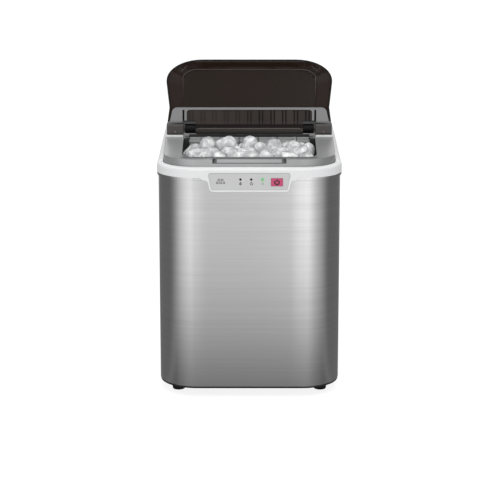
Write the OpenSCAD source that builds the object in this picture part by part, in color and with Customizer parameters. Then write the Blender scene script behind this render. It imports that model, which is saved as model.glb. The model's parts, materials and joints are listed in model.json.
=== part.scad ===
// Bench-top bullet ice maker: brushed steel wrap, moulded collar, smoked lid.
// Millimetres. Origin at the middle of the footprint on the table, front faces -Y.

/* [Body] */
// Width across the steel wrap
body_w = 238; // [228:1:248]
// Depth over the steel wrap
body_d = 354; // [346:1:366]
// Height of the steel wrap
wrap_h = 283; // [270:1:290]
// Plan radius of the two front corners
front_r = 50; // [44:1:54]
// Plan radius of the two rear corners
rear_r = 22; // [18:1:25]
// Thickness of the wrapped sheet
sheet = 1.2; // [0.8:0.1:1.6]
// Height of the rubber feet
foot_h = 12; // [9:0.5:15]
// Radius of a foot where it meets the table
foot_r = 8.3; // [7:0.1:11]
// Edge of the base pan that shows under the wrap
pan_edge = 2.5; // [1.5:0.5:5]
// Plate thickness of the plastic mouldings
wall = 2.5; // [2:0.1:3]
// Assembly gap between fixed mouldings
fit = 0.3; // [0.2:0.05:0.4]

/* [Collar] */
// Wall of the collar skirt outside the wrap
collar_wall = 1.5; // [1.2:0.1:2]
// Overlap of the collar skirt over the wrap
collar_lap = 6; // [4:0.5:8]
// Width of the collar's top rim
rim_w = 8.4; // [7:0.1:9]
// Height of the rim over the wrap at the front
rim_front = 9.5; // [8:0.5:12]
// Height of the rim's outer edge over the wrap at the rear
rim_rear_out = 17.5; // [14:0.5:20]
// Height of the rim's inner edge over the wrap at the hinge
rim_rear_in = 29.5; // [27:0.5:31]

/* [Control panel] */
// Width of the panel at its top
panel_w = 106; // [96:1:116]
// Height of the panel
panel_h = 22; // [20:0.5:26]
// Slant of each side of the panel
panel_slant = 4.5; // [2:0.5:6]
// Visible border of the collar around the panel
bezel_w = 2.6; // [2:0.1:4]
// Width of the power button
button_w = 14.8; // [12:0.1:18]
// Height of the power button
button_h = 9.8; // [8:0.1:12]
// Press travel of the power button
button_travel = 1.2; // [0.8:0.1:1.4]
// Diameter of an indicator lens
led_d = 3; // [2:0.5:4]

/* [Deck] */
// Height of the deck's front lip over the collar rim
lip_rise = 10; // [9:0.5:12]
// Depth of the front lip from front to back
lip_depth = 8; // [6:0.5:10]
// Height of the deck plane over the collar rim at its front edge
deck_rise = 4.4; // [3.5:0.1:5]
// Setback of the deck from the front of the collar
deck_setback = 9; // [8.8:0.1:11]
// Upward slope of the deck to the rear
deck_slope = 9; // [8:0.5:10]
// Width of the deck between the mouth and the side of the wrap
mouth_side = 31; // [29:0.5:34]
// Length of the ice mouth
mouth_l = 76.5; // [74:0.5:80]
// Plan radius of the mouth's front corners
mouth_r = 12; // [9:1:20]
// Width of the bar in front of the mouth
front_bar = 26; // [24:0.5:28]
// Width of the finger scoop
scoop_w = 95; // [80:1:110]

/* [Lid] */
// Reach of the lid from its hinge axis
lid_len = 92.5; // [91:0.5:96]
// Gap between the lid's edge and the collar rim
lid_clear = 1.6; // [1:0.1:3]
// Height of the lid over its rim
lid_h = 16; // [12:0.5:18]
// Wall of the lid
lid_wall = 2.2; // [1.8:0.1:2.8]
// Sloped band along each side of the lid
side_band = 20; // [14:1:24]
// Sloped band along the front of the lid
front_band = 13; // [10:1:16]
// Lean of the open lid past upright
lid_lean = 8; // [4:1:12]
// Gap between the closed lid's rim and the deck
lid_gap = 0.6; // [0.4:0.1:1]

/* [Hinge] */
// Radius of the hinge knuckles
hinge_r = 7.4; // [6.5:0.1:8]
// Distance of the hinge axis behind the mouth
hinge_back = 10; // [10:0.5:12]
// Gap between each end of the lid's middle barrel and the knuckle
barrel_gap = 16; // [12:1:22]
// Radius of a hinge pin
pin_r = 2.5; // [2:0.1:3]
// Radial running clearance of shafts
run_fit = 0.05; // [0.02:0.01:0.1]

/* [Tank and basket] */
// Distance of the tank inside the side of the wrap
tank_side = 15; // [13:0.5:18]
// Distance of the tank behind the front of the wrap
tank_front = 17; // [16:1:20]
// Room behind the tray's axis for its swing
tank_behind = 38; // [36:1:44]
// Thickness of the foam round the tank
foam_t = 9; // [6:0.5:11]
// Depth of the ice basket
basket_h = 84; // [76:1:90]
// Gap round the basket as it passes the mouth
basket_gap = 2; // [1.5:0.5:4]

/* [Ice unit] */
// Number of evaporator fingers in the front row
finger_count = 5; // [4:1:5]
// Distance of the outermost finger from the side of the tank
finger_side = 44; // [40:1:48]
// Radius of a finger
finger_r = 6; // [5:0.5:7]
// Length of a finger
finger_l = 40; // [34:1:44]
// Spacing of the two finger rows
row_gap = 24; // [22:1:26]
// Radius of the tray and shovel shafts
shaft_r = 3; // [2.5:0.1:3.5]
// Tilt of the water tray when it empties
tray_tilt = 60; // [50:1:65]
// Swing of the ice shovel
shovel_turn = 40; // [30:1:45]

/* [Cooling] */
// Radius of the compressor shell
comp_r = 50; // [44:1:52]
// Height of the compressor shell
comp_h = 118; // [105:1:125]
// Radius of the fan
fan_r = 38; // [34:1:42]
// Number of fan blades
blade_count = 7; // [5:1:9]
// Clearance between the cooling parts and the foam over them
bay_gap = 2; // [1:0.5:5]
// Number of condenser fins
fin_count = 24; // [16:1:28]
// Radius of the refrigerant pipes
pipe_r = 3; // [2.5:0.1:3.5]

/* [Hidden] */
$fn = 48;
eps = 0.01;

wrap_low = foot_h + pan_edge;
wrap_top = wrap_low + wrap_h;
front_y = -body_d / 2;
rear_y = body_d / 2;

// Collar: its outline lies outside the wrap, its rim inside the top opening
collar_out = fit + collar_wall;
collar_w = body_w + 2 * collar_out;
collar_d = body_d + 2 * collar_out;
collar_y = -collar_d / 2;
collar_low = wrap_top - collar_lap;
collar_seat = wrap_top + fit;
rim_low = wrap_top + rim_front;
inner_half = collar_w / 2 - rim_w;

// Deck plane: level across, rising to the rear
deck_y = collar_y + deck_setback;
deck_half = inner_half - fit;
deck_low = wrap_top + rim_front / 2;
deck_front_z = rim_low + deck_rise;
lip_z = rim_low + lip_rise;
mouth_w = body_w - 2 * mouth_side;
mouth_y = deck_y + front_bar;
mouth_end = mouth_y + mouth_l;
hinge_y = mouth_end + hinge_back;
deck_end = hinge_y + hinge_r + 2;
function deck_z(y) = deck_front_z + (y - deck_y) * tan(deck_slope);
hinge_z = deck_z(hinge_y) + hinge_r + 1.6;
lid_w = 2 * (inner_half - lid_clear);
knuckle_gap = 0.6;
knuckle_l = lid_w / 2 - mouth_w / 2 - knuckle_gap;
barrel_half = mouth_w / 2 - barrel_gap;
ledge_z = hinge_z - hinge_r;
ledge_y = hinge_y - hinge_r - 0.2;
rim_seat = (hinge_z - deck_z(hinge_y)) * cos(deck_slope) - lid_gap;
closed_turn = 90 + lid_lean + deck_slope;

// Control panel on the front of the collar
panel_top_z = rim_low - 6;
panel_low_z = panel_top_z - panel_h;
panel_face = collar_y + 0.5;
panel_back = front_y - 0.1;
button_x = panel_w / 3;
button_z = panel_low_z + panel_h * 0.46;
led_z = panel_low_z + panel_h * 0.62;
led_xs = [-11.4, 2.4, 16.9];
board_t = 1.6;
board_y = panel_back + 5.6;
board_w = panel_w - 12;
boss_x = board_w / 2 - 1.8;

// Tank, foam and basket; the cooling parts stand under the foam
comp_z = foot_h + wall + 9;
tank_z = comp_z + comp_h + bay_gap + foam_t;
tank_w = body_w - 2 * tank_side;
tank_y = front_y + tank_front;
tank_top = deck_low - fit;
tank_r = 28;
foam_top = tank_top - 2 * wall - fit;
basket_w = mouth_w - 2 * basket_gap;
basket_l = mouth_l - 2 * basket_gap;
basket_top = deck_low + 1;
basket_z = basket_top - basket_h;

// Ice unit: frame, evaporator, tray and shovel
unit_top = deck_low + 20;
unit_y = deck_end + 4;
evap_t = 10;
evap_z = unit_top - 3 - fit - evap_t;
row_y = [unit_y + 20, unit_y + 20 + row_gap];
finger_low = evap_z - finger_l;
finger_pitch = (tank_w - 2 * finger_side) / (finger_count - 1);
tray_half = tank_w / 2 - finger_side + finger_r + 9;
tray_y0 = row_y[0] - finger_r - 10;
tray_y1 = row_y[1] + finger_r + 8;
tray_z0 = finger_low - 7;
tray_z1 = finger_low + finger_l * 0.55;
tray_axis_y = tray_y1 + shaft_r + 2;
tray_axis_z = tray_z1 - shaft_r;
tank_end = tray_axis_y + tank_behind;
cheek_x = tray_half + 4;
shovel_y = hinge_y - 1.5;
shovel_z = deck_z(shovel_y) - 8;
shovel_half = mouth_w / 2 - 8;
comb_up = 6;
lug_x = shovel_half + 1.5;

// Cooling parts behind and under the tank
box_out = 12;
comp_x = body_w / 2 - sheet - comp_r - 2 * box_out;
comp_y = rear_y - comp_r - 18;
cond_t = 20;
cond_x = -body_w / 2 + sheet + 6;
cond_len = 2 * fan_r + 16;
cond_y = rear_y - 16 - cond_len;
cond_z = foot_h + wall + 14;
cond_h = tank_z - foam_t - bay_gap - cond_z;
fan_x = cond_x + cond_t + 18;
fan_y = cond_y + cond_len / 2;
fan_z = cond_z + cond_h / 2;
shroud_t = 26;
pump_x = -20;
pump_y = -52;
pump_z = foot_h + wall;
pump_r = 20;
hose_r = 6;
hose_bore = 4;
drain_y = front_y + 46;
neck_r = 8;

// ---- helpers ----

// Plan outline with one radius at the front and one at the rear
module plan(w, y0, y1, rf, rr) {
    translate([-w / 2 + rf, y0]) square([w - 2 * rf, y1 - y0 - rr]);
    translate([-w / 2, y0 + rf]) square([w, y1 - y0 - rf - rr]);
    translate([-w / 2 + rr, (y0 + y1) / 2]) square([w - 2 * rr, (y1 - y0) / 2]);
    for (s = [-1, 1]) {
        translate([s * (w / 2 - rf), y0 + rf]) circle(rf, $fn = 96);
        translate([s * (w / 2 - rr), y1 - rr]) circle(rr, $fn = 64);
    }
}

module slab(z0, z1) {
    translate([0, 0, z0]) linear_extrude(z1 - z0) children();
}

// Box from one corner to the other
module block(a, b) {
    translate(a) cube(b - a);
}

// Cylinder along X from x0 to x1
module rod_x(x0, x1, y, z, r) {
    translate([x0, y, z]) rotate([0, 90, 0]) cylinder(h = x1 - x0, r = r);
}

// Cylinder along Y from y0 to y1
module rod_y(x, y0, y1, z, r) {
    translate([x, y0, z]) rotate([-90, 0, 0]) cylinder(h = y1 - y0, r = r);
}

module rod_z(x, y, z0, z1, r) {
    translate([x, y, z0]) cylinder(h = z1 - z0, r = r);
}

// Round tube through a list of points, with right-angle bends
module run(points, r, bend) {
    last = len(points) - 2;
    dirs = [for (i = [0 : last]) (points[i + 1] - points[i]) / norm(points[i + 1] - points[i])];
    for (i = [0 : last]) {
        d = dirs[i];
        a = points[i] + (i > 0 ? bend : 0) * d;
        b = points[i + 1] - (i < last ? bend : 0) * d;
        translate(a) rotate([0, acos(d[2]), atan2(d[1], d[0])]) cylinder(h = norm(b - a), r = r);
        if (i < last) {
            e = dirs[i + 1];
            n = cross(d, e);
            c = b + bend * e;
            multmatrix([[-e[0], d[0], n[0], c[0]], [-e[1], d[1], n[1], c[1]], [-e[2], d[2], n[2], c[2]], [0, 0, 0, 1]])
                rotate_extrude(angle = 90) translate([bend, 0]) circle(r);
        }
    }
}

// Slot with round ends along Y, cut through in X
module slot_yz(x0, x1, y, z, length, width) {
    block([x0, y - length / 2 + width / 2, z - width / 2], [x1, y + length / 2 - width / 2, z + width / 2]);
    for (s = [-1, 1]) rod_x(x0, x1, y + s * (length - width) / 2, z, width / 2);
}

// Space under the deck plane, lifted by up
module under_deck(up) {
    y0 = collar_y - 1;
    y1 = deck_end + 30;
    translate([-body_w / 2, 0, 0]) rotate([90, 0, 90]) linear_extrude(body_w)
        polygon([[y0, 0], [y1, 0], [y1, deck_z(y1) + up], [y0, deck_z(y0) + up]]);
}

// ---- casing ----

module wrap_plan(inset) {
    plan(body_w - 2 * inset, front_y + inset, rear_y - inset, front_r - inset, rear_r - inset);
}

rear_half = body_w / 2 - rear_r - 3;
vent_pitch = 9;
vent_rows = 12;

module side_vents() {
    for (s = [-1, 1], i = [0 : vent_rows - 1], j = [0, 1])
        slot_yz(s * body_w / 2 - 4, s * body_w / 2 + 4, fan_y + (j - 0.5) * 44,
            fan_z + (i - (vent_rows - 1) / 2) * vent_pitch, 38, 4);
}

module steel_wrap() {
    color("silver") difference() {
        slab(wrap_low, wrap_top) difference() {
            wrap_plan(0);
            wrap_plan(sheet);
            translate([-rear_half, 0]) square([2 * rear_half, body_d]);
        }
        block([-panel_w / 2 + panel_slant, front_y - 5, panel_low_z - bezel_w / 2],
            [panel_w / 2 - panel_slant, front_y + 5, wrap_top + 5]);
        side_vents();
    }
}

module base_pan() {
    color("#202022") difference() {
        union() {
            slab(foot_h, foot_h + pan_edge - fit) wrap_plan(0.6);
            slab(foot_h, foot_h + 14) difference() {
                wrap_plan(sheet + fit);
                wrap_plan(sheet + fit + wall);
                translate([-rear_half - 5, 0]) square([2 * rear_half + 10, body_d]);
            }
            rod_z(0, drain_y, foot_h, foot_h + 16, neck_r + 3);
            for (p = comp_feet) rod_z(p[0], p[1], foot_h, foot_h + wall + 2, 9);
        }
        rod_z(0, drain_y, foot_h - 1, foot_h + 17, neck_r);
    }
}

foot_x = body_w / 2 - 24.7;
foot_ys = [front_y + 37, rear_y - 42];

module feet() {
    color("#161616") for (x = [-foot_x, foot_x], y = foot_ys) translate([x, y, 0]) rotate_extrude()
        polygon([[0, 0], [foot_r - 1.5, 0], [foot_r - 0.4, 0.4], [foot_r, 1.5],
            [foot_r + 1.2, foot_h], [0, foot_h]]);
}

rear_vents = 19;
rear_vent_pitch = 2 * (rear_half - 13) / (rear_vents - 1);
rear_vent_h = comp_h - 24;
rear_vent_z = comp_z + comp_h / 2 + 12;
gland_x = -rear_half + 30;
gland_z = wrap_low + 28;
gland_r = 8;
screw_zs = [wrap_low + 12, wrap_top - 18];
screw_r = 1.6;

module rear_panel() {
    color("#2b2b2d") difference() {
        union() {
            block([-rear_half + fit, rear_y - wall, wrap_low], [rear_half - fit, rear_y, wrap_top]);
            block([-rear_half - 4, rear_y - 2 * wall, wrap_low + 2],
                [rear_half + 4, rear_y - sheet - fit, wrap_top - 2]);
        }
        for (i = [0 : rear_vents - 1]) translate([(i - (rear_vents - 1) / 2) * rear_vent_pitch, 0, rear_vent_z])
            upright_slot(4.4, rear_vent_h);
        rod_y(gland_x, rear_y - 10, rear_y + 1, gland_z, gland_r);
        for (s = [-1, 1], z = screw_zs)
            rod_y(s * (rear_half - 7), rear_y - 10, rear_y + 1, z, screw_r);
    }
}

// Upright slot with round ends through the rear panel
module upright_slot(width, height) {
    block([-width / 2, rear_y - 10, -height / 2 + width / 2], [width / 2, rear_y + 1, height / 2 - width / 2]);
    for (s = [-1, 1]) rod_y(0, rear_y - 10, rear_y + 1, s * (height - width) / 2, width / 2);
}

module cord_gland() {
    color("#101010") translate([gland_x, rear_y, gland_z]) rotate([-90, 0, 0]) rotate_extrude()
        polygon([[3.6, -2 * wall - 2], [gland_r + 1.4, -2 * wall - 2], [gland_r + 1.4, -2 * wall - fit / 2],
            [gland_r - fit / 2, -2 * wall - fit / 2], [gland_r - fit / 2, 0.1], [gland_r + 1.4, 0.1],
            [gland_r + 0.8, collar_out - 0.1], [3.6, collar_out - 0.1]]);
}

module panel_screws() {
    color("#3a3a3c") for (s = [-1, 1], z = screw_zs) translate([s * (rear_half - 7), rear_y, z])
        rotate([-90, 0, 0]) difference() {
            rotate_extrude() polygon([[0, -9], [screw_r - 0.1, -8], [screw_r - 0.1, 0.05],
                [3.4, 0.05], [3.2, 0.9], [2.2, 1.5], [0, 1.7]]);
            for (a = [0, 90]) rotate([0, 0, a]) block([-2.2, -0.4, 0.9], [2.2, 0.4, 3]);
        }
}

// ---- collar ----

// The rim's two edges climb from the front to the hinge
climb_y0 = collar_y + 46;
function ramp(y, y0, y1) = min(1, max(0, (y - y0) / (y1 - y0)));
function rim_out(y) = wrap_top + rim_front + (rim_rear_out - rim_front) * ramp(y, climb_y0 + 40, 55);
function rim_in(y) = wrap_top + rim_front + 0.8 + (rim_rear_in - rim_front - 0.8) * ramp(y, climb_y0, hinge_y);

// Points on the outline: x, y and the outward direction
function arc_pts(cx, cy, r, a0, a1, n) = [for (i = [0 : n]) let (a = a0 + (a1 - a0) * i / n)
    [cx + r * cos(a), cy + r * sin(a), cos(a), sin(a)]];
function side_pts(x, ya, yb, n, s) = [for (i = [1 : n - 1]) [x, ya + (yb - ya) * i / n, s, 0]];
function collar_ring() = let (w = collar_w / 2, d = collar_d / 2, rf = front_r + collar_out,
        rr = rear_r + collar_out)
    concat(arc_pts(w - rf, -d + rf, rf, -90, 0, 20), side_pts(w, -d + rf, d - rr, 24, 1),
        arc_pts(w - rr, d - rr, rr, 0, 90, 12), arc_pts(-w + rr, d - rr, rr, 90, 180, 12),
        side_pts(-w, d - rr, -d + rf, 24, -1), arc_pts(-w + rf, -d + rf, rf, 180, 270, 20));

// Section of the rim at one outline point: distance inwards and height
function rim_section(y) = [[0, collar_low], [0, rim_out(y) - 3], [0.4, rim_out(y) - 1.4],
    [1.4, rim_out(y) - 0.3], [2.6, rim_out(y) + (rim_in(y) - rim_out(y)) * 0.35],
    [rim_w - 0.7, rim_in(y)], [rim_w, rim_in(y) - 0.7], [rim_w, collar_seat],
    [collar_wall, collar_seat], [collar_wall, collar_low]];

module ring_sweep(ring) {
    n = len(ring);
    m = len(rim_section(0));
    pts = [for (p = ring, q = rim_section(p[1])) [p[0] - q[0] * p[2], p[1] - q[0] * p[3], q[1]]];
    faces = [for (i = [0 : n - 1], j = [0 : m - 1]) let (i2 = (i + 1) % n, j2 = (j + 1) % m)
        each [[i * m + j, i * m + j2, i2 * m + j2], [i * m + j, i2 * m + j2, i2 * m + j]]];
    polyhedron(pts, faces);
}

// Front outline of the panel, grown by g
module panel_outline(g) {
    offset(r = 3 + g, $fn = 32) offset(delta = -3)
        polygon([[-panel_w / 2, panel_top_z], [panel_w / 2, panel_top_z],
            [panel_w / 2 - panel_slant, panel_low_z], [-panel_w / 2 + panel_slant, panel_low_z]]);
}

// Bezel with shoulders that blend into the collar's lower edge
module bezel_outline() {
    shoulder = 5;
    offset(r = -shoulder, $fn = 48) offset(delta = shoulder) {
        panel_outline(bezel_w);
        translate([-panel_w / 2 - 22, collar_low]) square([panel_w + 44, rim_low - 3 - collar_low]);
    }
}

module front_plate(y0, y1) {
    translate([0, y1, 0]) rotate([90, 0, 0]) linear_extrude(y1 - y0) children();
}

module top_collar() {
    color("#ececec") difference() {
        union() {
            ring_sweep(collar_ring());
            front_plate(collar_y, collar_y + collar_wall) intersection() {
                bezel_outline();
                translate([-panel_w / 2 - 14, 0]) square([panel_w + 28, rim_low - 3]);
            }
        }
        front_plate(collar_y - 1, collar_y + collar_wall + 1) panel_outline(fit / 2);
        front_plate(collar_y, collar_y + rim_w + 1) intersection() {
            panel_outline(fit / 2);
            translate([-panel_w, 0]) square([2 * panel_w, rim_low]);
        }
    }
}

// ---- controls ----

button_fit = 0.25;

module control_panel() {
    color("#c6c7c9") difference() {
        union() {
            front_plate(panel_face, panel_back) panel_outline(0);
            for (s = [-1, 1], z = [panel_low_z + 4, panel_low_z + 15])
                rod_y(s * boss_x, panel_back - eps, board_y, z, 1.6);
        }
        block([button_x - button_w / 2 - button_fit, panel_face - 1, button_z - button_h / 2 - button_fit],
            [button_x + button_w / 2 + button_fit, panel_back + 1, button_z + button_h / 2 + button_fit]);
        for (x = led_xs) rod_y(x, panel_face - 1, panel_back + 1, led_z, led_d / 2 + 0.1);
    }
}

module power_button() {
    cap_r = 1.2;
    color("#d6336c") {
        front_plate(collar_y + 0.05, panel_back + 0.6) translate([button_x, button_z])
            offset(r = cap_r, $fn = 24) square([button_w - 2 * cap_r, button_h - 2 * cap_r], center = true);
        rod_y(button_x, panel_back + 0.5, board_y - 2.6 - button_travel, button_z, 1.8);
    }
}

module button_switch() {
    color("#303030") {
        block([button_x - 3, board_y - 2.2, button_z - 3], [button_x + 3, board_y, button_z + 3]);
        rod_y(button_x, board_y - 2.5, board_y - 2.1, button_z, 1.6);
    }
}

module indicator_lenses() {
    color("#8fe08f") for (x = led_xs) {
        rod_y(x, panel_face + 0.1, board_y - 1, led_z, led_d / 2);
        rod_y(x, board_y - 2, board_y, led_z, led_d / 2 + 0.5);
    }
}

module control_board() {
    color("#1f6b3a") block([-board_w / 2, board_y, panel_low_z + 1], [board_w / 2, board_y + board_t, panel_low_z + 18]);
    color("#1c1c1c") {
        block([-board_w / 2 + 12, board_y + board_t, panel_low_z + 5], [-board_w / 2 + 26, board_y + 4, panel_low_z + 13]);
        block([-2, board_y + board_t, panel_low_z + 4], [8, board_y + 3.6, panel_low_z + 14]);
    }
}

// ---- deck ----

module mouth_plan(grow) {
    plan(mouth_w + 2 * grow, mouth_y - grow, mouth_end + grow, mouth_r + grow, 3 + grow);
}

module deck_plan(inset) {
    difference() {
        plan(2 * (deck_half - inset), deck_y + inset, deck_end + 60, front_r - 4 - inset, 20);
        translate([-body_w, deck_end - inset]) square([2 * body_w, 100]);
    }
}

// Scoop that lets a finger under the front edge of the lid
module finger_scoop() {
    deep = 5.8;
    far_half = scoop_w / 2 - 4;
    near_y = deck_y - 1;
    far_y = deck_y + lip_depth + 1;
    hull() {
        block([-scoop_w / 2, near_y, lip_z - deep], [scoop_w / 2, near_y + 0.5, lip_z + 6]);
        block([-far_half, far_y, lip_z - 0.3], [far_half, far_y + 0.2, lip_z + 6]);
    }
}

// Raised lip in front of the lid's seat; it fades out round the corners
module front_lip() {
    fade_y = deck_y + 40;
    difference() {
        intersection() {
            slab(deck_low, lip_z) deck_plan(0);
            translate([-body_w / 2, 0, 0]) rotate([90, 0, 90]) linear_extrude(body_w)
                polygon([[deck_y - 1, 0], [fade_y, 0], [fade_y, deck_z(fade_y) - 1],
                    [deck_y + lip_depth + 2, lip_z + 0.01], [deck_y - 1, lip_z + 0.01]]);
        }
        slab(deck_low - 1, lip_z + 1)
            plan(2 * deck_half - 1.2, deck_y + lip_depth, deck_end, front_r - 8, 4);
    }
}

module deck() {
    color("#8f9193") difference() {
        union() {
            intersection() {
                slab(deck_low, deck_low + 60) deck_plan(0);
                under_deck(0);
            }
            front_lip();
            for (s = [-1, 1]) block([s * lug_x - (s < 0 ? 3 : 0), shovel_y - 5, shovel_z - 5],
                [s * lug_x + (s > 0 ? 3 : 0), shovel_y + 5, deck_z(shovel_y) - 1]);
        }
        slab(deck_low - 1, deck_low + 60) mouth_plan(0);
        intersection() {
            slab(deck_low - 1, deck_low + 60) difference() {
                deck_plan(wall);
                mouth_plan(wall);
                for (s = [-1, 1]) translate([s * (lug_x + 1.5), shovel_y]) square([wall + 3, 30], center = true);
            }
            under_deck(-wall);
        }
        finger_scoop();
        block([-shovel_half - 1, mouth_end - 1, deck_low - 1], [shovel_half + 1, shovel_y + comb_up, hinge_z]);
        rod_x(-mouth_w / 2 - 2, mouth_w / 2 + 2, shovel_y, shovel_z, shaft_r + run_fit);
    }
}

// White steps on the deck that carry the hinge knuckles
module hinge_ledges() {
    color("#ececec") for (s = [-1, 1]) difference() {
        block([s > 0 ? mouth_w / 2 + 1 : -deck_half, ledge_y, deck_low],
            [s > 0 ? deck_half : -mouth_w / 2 - 1, deck_end, ledge_z - fit / 2]);
        under_deck(0.05);
    }
}

// ---- rear cover ----

module cover_plan(inset) {
    plan(2 * (deck_half - inset), deck_end + fit + inset, collar_d / 2 - rim_w - fit - inset, 6, rear_r - 3);
}

cover_top = wrap_top + rim_rear_in + 2.4;

module rear_cover() {
    color("#2c2c2e") difference() {
        hull() {
            slab(deck_low, cover_top - 5) cover_plan(0);
            slab(cover_top - 5, cover_top - 1.4) cover_plan(1.6);
            slab(cover_top - 1.4, cover_top) cover_plan(5);
        }
        hull() {
            slab(deck_low - 1, cover_top - 5 - wall) cover_plan(wall);
            slab(cover_top - 5 - wall, cover_top - wall) cover_plan(wall + 4);
        }
    }
}

// ---- hinge and lid ----

module hinge_block(s) {
    x0 = s > 0 ? mouth_w / 2 + knuckle_gap : -lid_w / 2;
    corner = 3;
    flat = hinge_r - corner;
    color("#3c3c3e") difference() {
        union() {
            block([x0, hinge_y - hinge_r, hinge_z - flat], [x0 + knuckle_l, hinge_y + hinge_r, hinge_z + flat]);
            block([x0, hinge_y - flat, ledge_z], [x0 + knuckle_l, hinge_y + flat, hinge_z + hinge_r]);
            for (y = [-flat, flat], z = [-flat, flat]) rod_x(x0, x0 + knuckle_l, hinge_y + y, hinge_z + z, corner);
        }
        rod_x(x0 - 1, x0 + knuckle_l + 1, hinge_y, hinge_z, pin_r + 0.02);
    }
}

module hinge_block_left() hinge_block(-1);
module hinge_block_right() hinge_block(1);

pin_in = barrel_half - 12;
pin_out = lid_w / 2 - 1;

module hinge_pins() {
    color("#b8babd") {
        rod_x(-pin_out, -pin_in, hinge_y, hinge_z, pin_r);
        rod_x(pin_in, pin_out, hinge_y, hinge_z, pin_r);
    }
}

// Lid frame of reference: axis at the origin, lid towards -Y, outside up
module lid_open() {
    translate([0, hinge_y, hinge_z]) rotate([-90 - lid_lean, 0, 0]) children();
}

lid_back = 9.6;
lid_narrow = 1.2;
waist_in = 3.8;
waist_from = 62;
corner_a = 48;
corner_b = 28;

// Rim of the lid, drawn in from its edge by ix at the sides and iy at the front
module lid_plan(ix, iy) {
    half = lid_w / 2 - ix;
    reach = lid_len - iy;
    ca = corner_a - ix * 0.7;
    cb = corner_b - iy * 0.5;
    back = half - lid_narrow;
    polygon(concat(
        [[-back, -lid_back], [back, -lid_back]],
        [for (i = [0 : 10]) let (a = i * 9) [half - ca + ca * cos(a), -reach + cb - cb * sin(a)]],
        [for (i = [10 : -1 : 0]) let (a = i * 9) [-half + ca - ca * cos(a), -reach + cb - cb * sin(a)]]));
}

module lid_form(grow) {
    hull() {
        slab(-rim_seat - (grow < 0 ? 1 : 0), -rim_seat + 3) lid_plan(-grow, -grow);
        slab(-rim_seat + lid_h * 0.75 + grow, -rim_seat + lid_h * 0.75 + grow + 0.2)
            lid_plan(side_band * 0.62 - grow, front_band * 0.55 - grow);
        slab(-rim_seat + lid_h + grow - 0.2, -rim_seat + lid_h + grow)
            lid_plan(side_band - grow * 0.5, front_band - grow * 0.5);
    }
}

// Space outside the lid's waist, moved by grow
module waist_cut(grow) {
    half = lid_w / 2 + grow;
    for (s = [-1, 1]) slab(-40, 60) scale_side(s)
        polygon([[half + 20, -waist_from], [half, -waist_from], [half - waist_in, -frame_reach],
            [half - lid_narrow, -lid_back], [half - lid_narrow, 0], [half + 20, 0]]);
}

module scale_side(s) {
    if (s > 0) children();
    else mirror([1, 0]) children();
}

module lid_shell() {
    color("#3a2f2a", 0.8) lid_open() difference() {
        lid_form(0);
        difference() {
            lid_form(-lid_wall);
            block([-lid_w, -lid_back - lid_wall, frame_v + frame_t + fit], [lid_w, 0, 40]);
            waist_cut(-lid_wall);
        }
        waist_cut(0);
    }
}

frame_t = 3;
ear_round = 7;
frame_reach = 28.5;
frame_v = -rim_seat + 0.4;
ear_in = mouth_w / 2 + 1.6;
ear_gap = 0.8;
ear_out = lid_w / 2 - lid_narrow - lid_wall - ear_gap;
ear_top = ear_out - waist_in + lid_narrow;
jamb_in = ear_in - 5.6;
jamb_w = 3;
frame_bar = 3.2;
window_r = 4;

// Light hinge frame: two ears and the bar between them
module lid_hinge_frame() {
    color("#9b9c9e") lid_open() {
        for (s = [-1, 1]) slab(frame_v, frame_v + frame_t) scale_side(s) {
            polygon([[ear_in, -lid_back - 0.6], [ear_out, -lid_back - 0.6],
                for (a = [0 : 15 : 90]) [ear_top - ear_round * (1 - cos(a)),
                    -frame_reach + ear_round * (1 - sin(a))],
                [ear_in, -frame_reach]]);
            translate([jamb_in, -frame_reach]) square([jamb_w, frame_reach - lid_back - 1.4]);
        }
        slab(frame_v, frame_v + frame_t)
            translate([-ear_in - 2, -frame_reach]) square([2 * ear_in + 4, frame_bar]);
        for (s = [-1, 1]) slab(frame_v, frame_v + frame_t) scale_side(s)
            translate([jamb_in + eps - window_r, frame_bar - frame_reach - eps]) difference() {
                square(window_r);
                translate([0, window_r]) circle(window_r, $fn = 48);
            }
    }
}

rib_count = 5;
rib_pitch = (jamb_in - 6) / rib_count;
neck_half = mouth_w / 2 - 1.5;
barrel_neck_r = hinge_r - 1;

// Dark middle barrel with the ribbed panel that joins it to the lid
module lid_barrel() {
    color("#191919") lid_open() {
        difference() {
            union() {
                rod_x(-barrel_half, barrel_half, 0, 0, hinge_r);
                rod_x(-neck_half, neck_half, 0, 0, barrel_neck_r);
                block([-barrel_half, -lid_back - 1, frame_v], [barrel_half, 0, frame_v + frame_t]);
                block([-barrel_half, -lid_back + fit, frame_v], [barrel_half, 0, 0]);
            }
            for (s = [-1, 1]) rod_x(s > 0 ? pin_in - 1 : -neck_half - 1,
                s > 0 ? neck_half + 1 : -pin_in + 1, 0, 0, pin_r + run_fit);
        }
        difference() {
            block([-jamb_in + 0.1, -frame_reach + frame_bar + 0.1, frame_v + 1],
                [jamb_in - 0.1, -lid_back - 1 + eps, frame_v + frame_t]);
            for (s = [-1, 1]) translate([s * jamb_in, -frame_reach + frame_bar, frame_v])
                rotate([0, 0, 45]) cube([window_r * 1.2, window_r * 1.2, 3 * frame_t], center = true);
        }
        for (i = [-rib_count : rib_count], s = [-1, 1]) translate([i * rib_pitch + s * 2.2 - 0.6, 0, 0])
            block([0, -frame_reach + frame_bar + 0.2, frame_v + 0.2], [1.2, -lid_back - 1, frame_v + 1.1]);
    }
}

// ---- tank and basket ----

module tank_plan(grow) {
    plan(tank_w + 2 * grow, tank_y - grow, tank_end + grow, tank_r + grow, 12 + grow);
}

shelf_z = basket_z - fit;
outlet_x = pump_x;
outlet_y = pump_y;
spigot_low = tank_z - 18;

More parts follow.
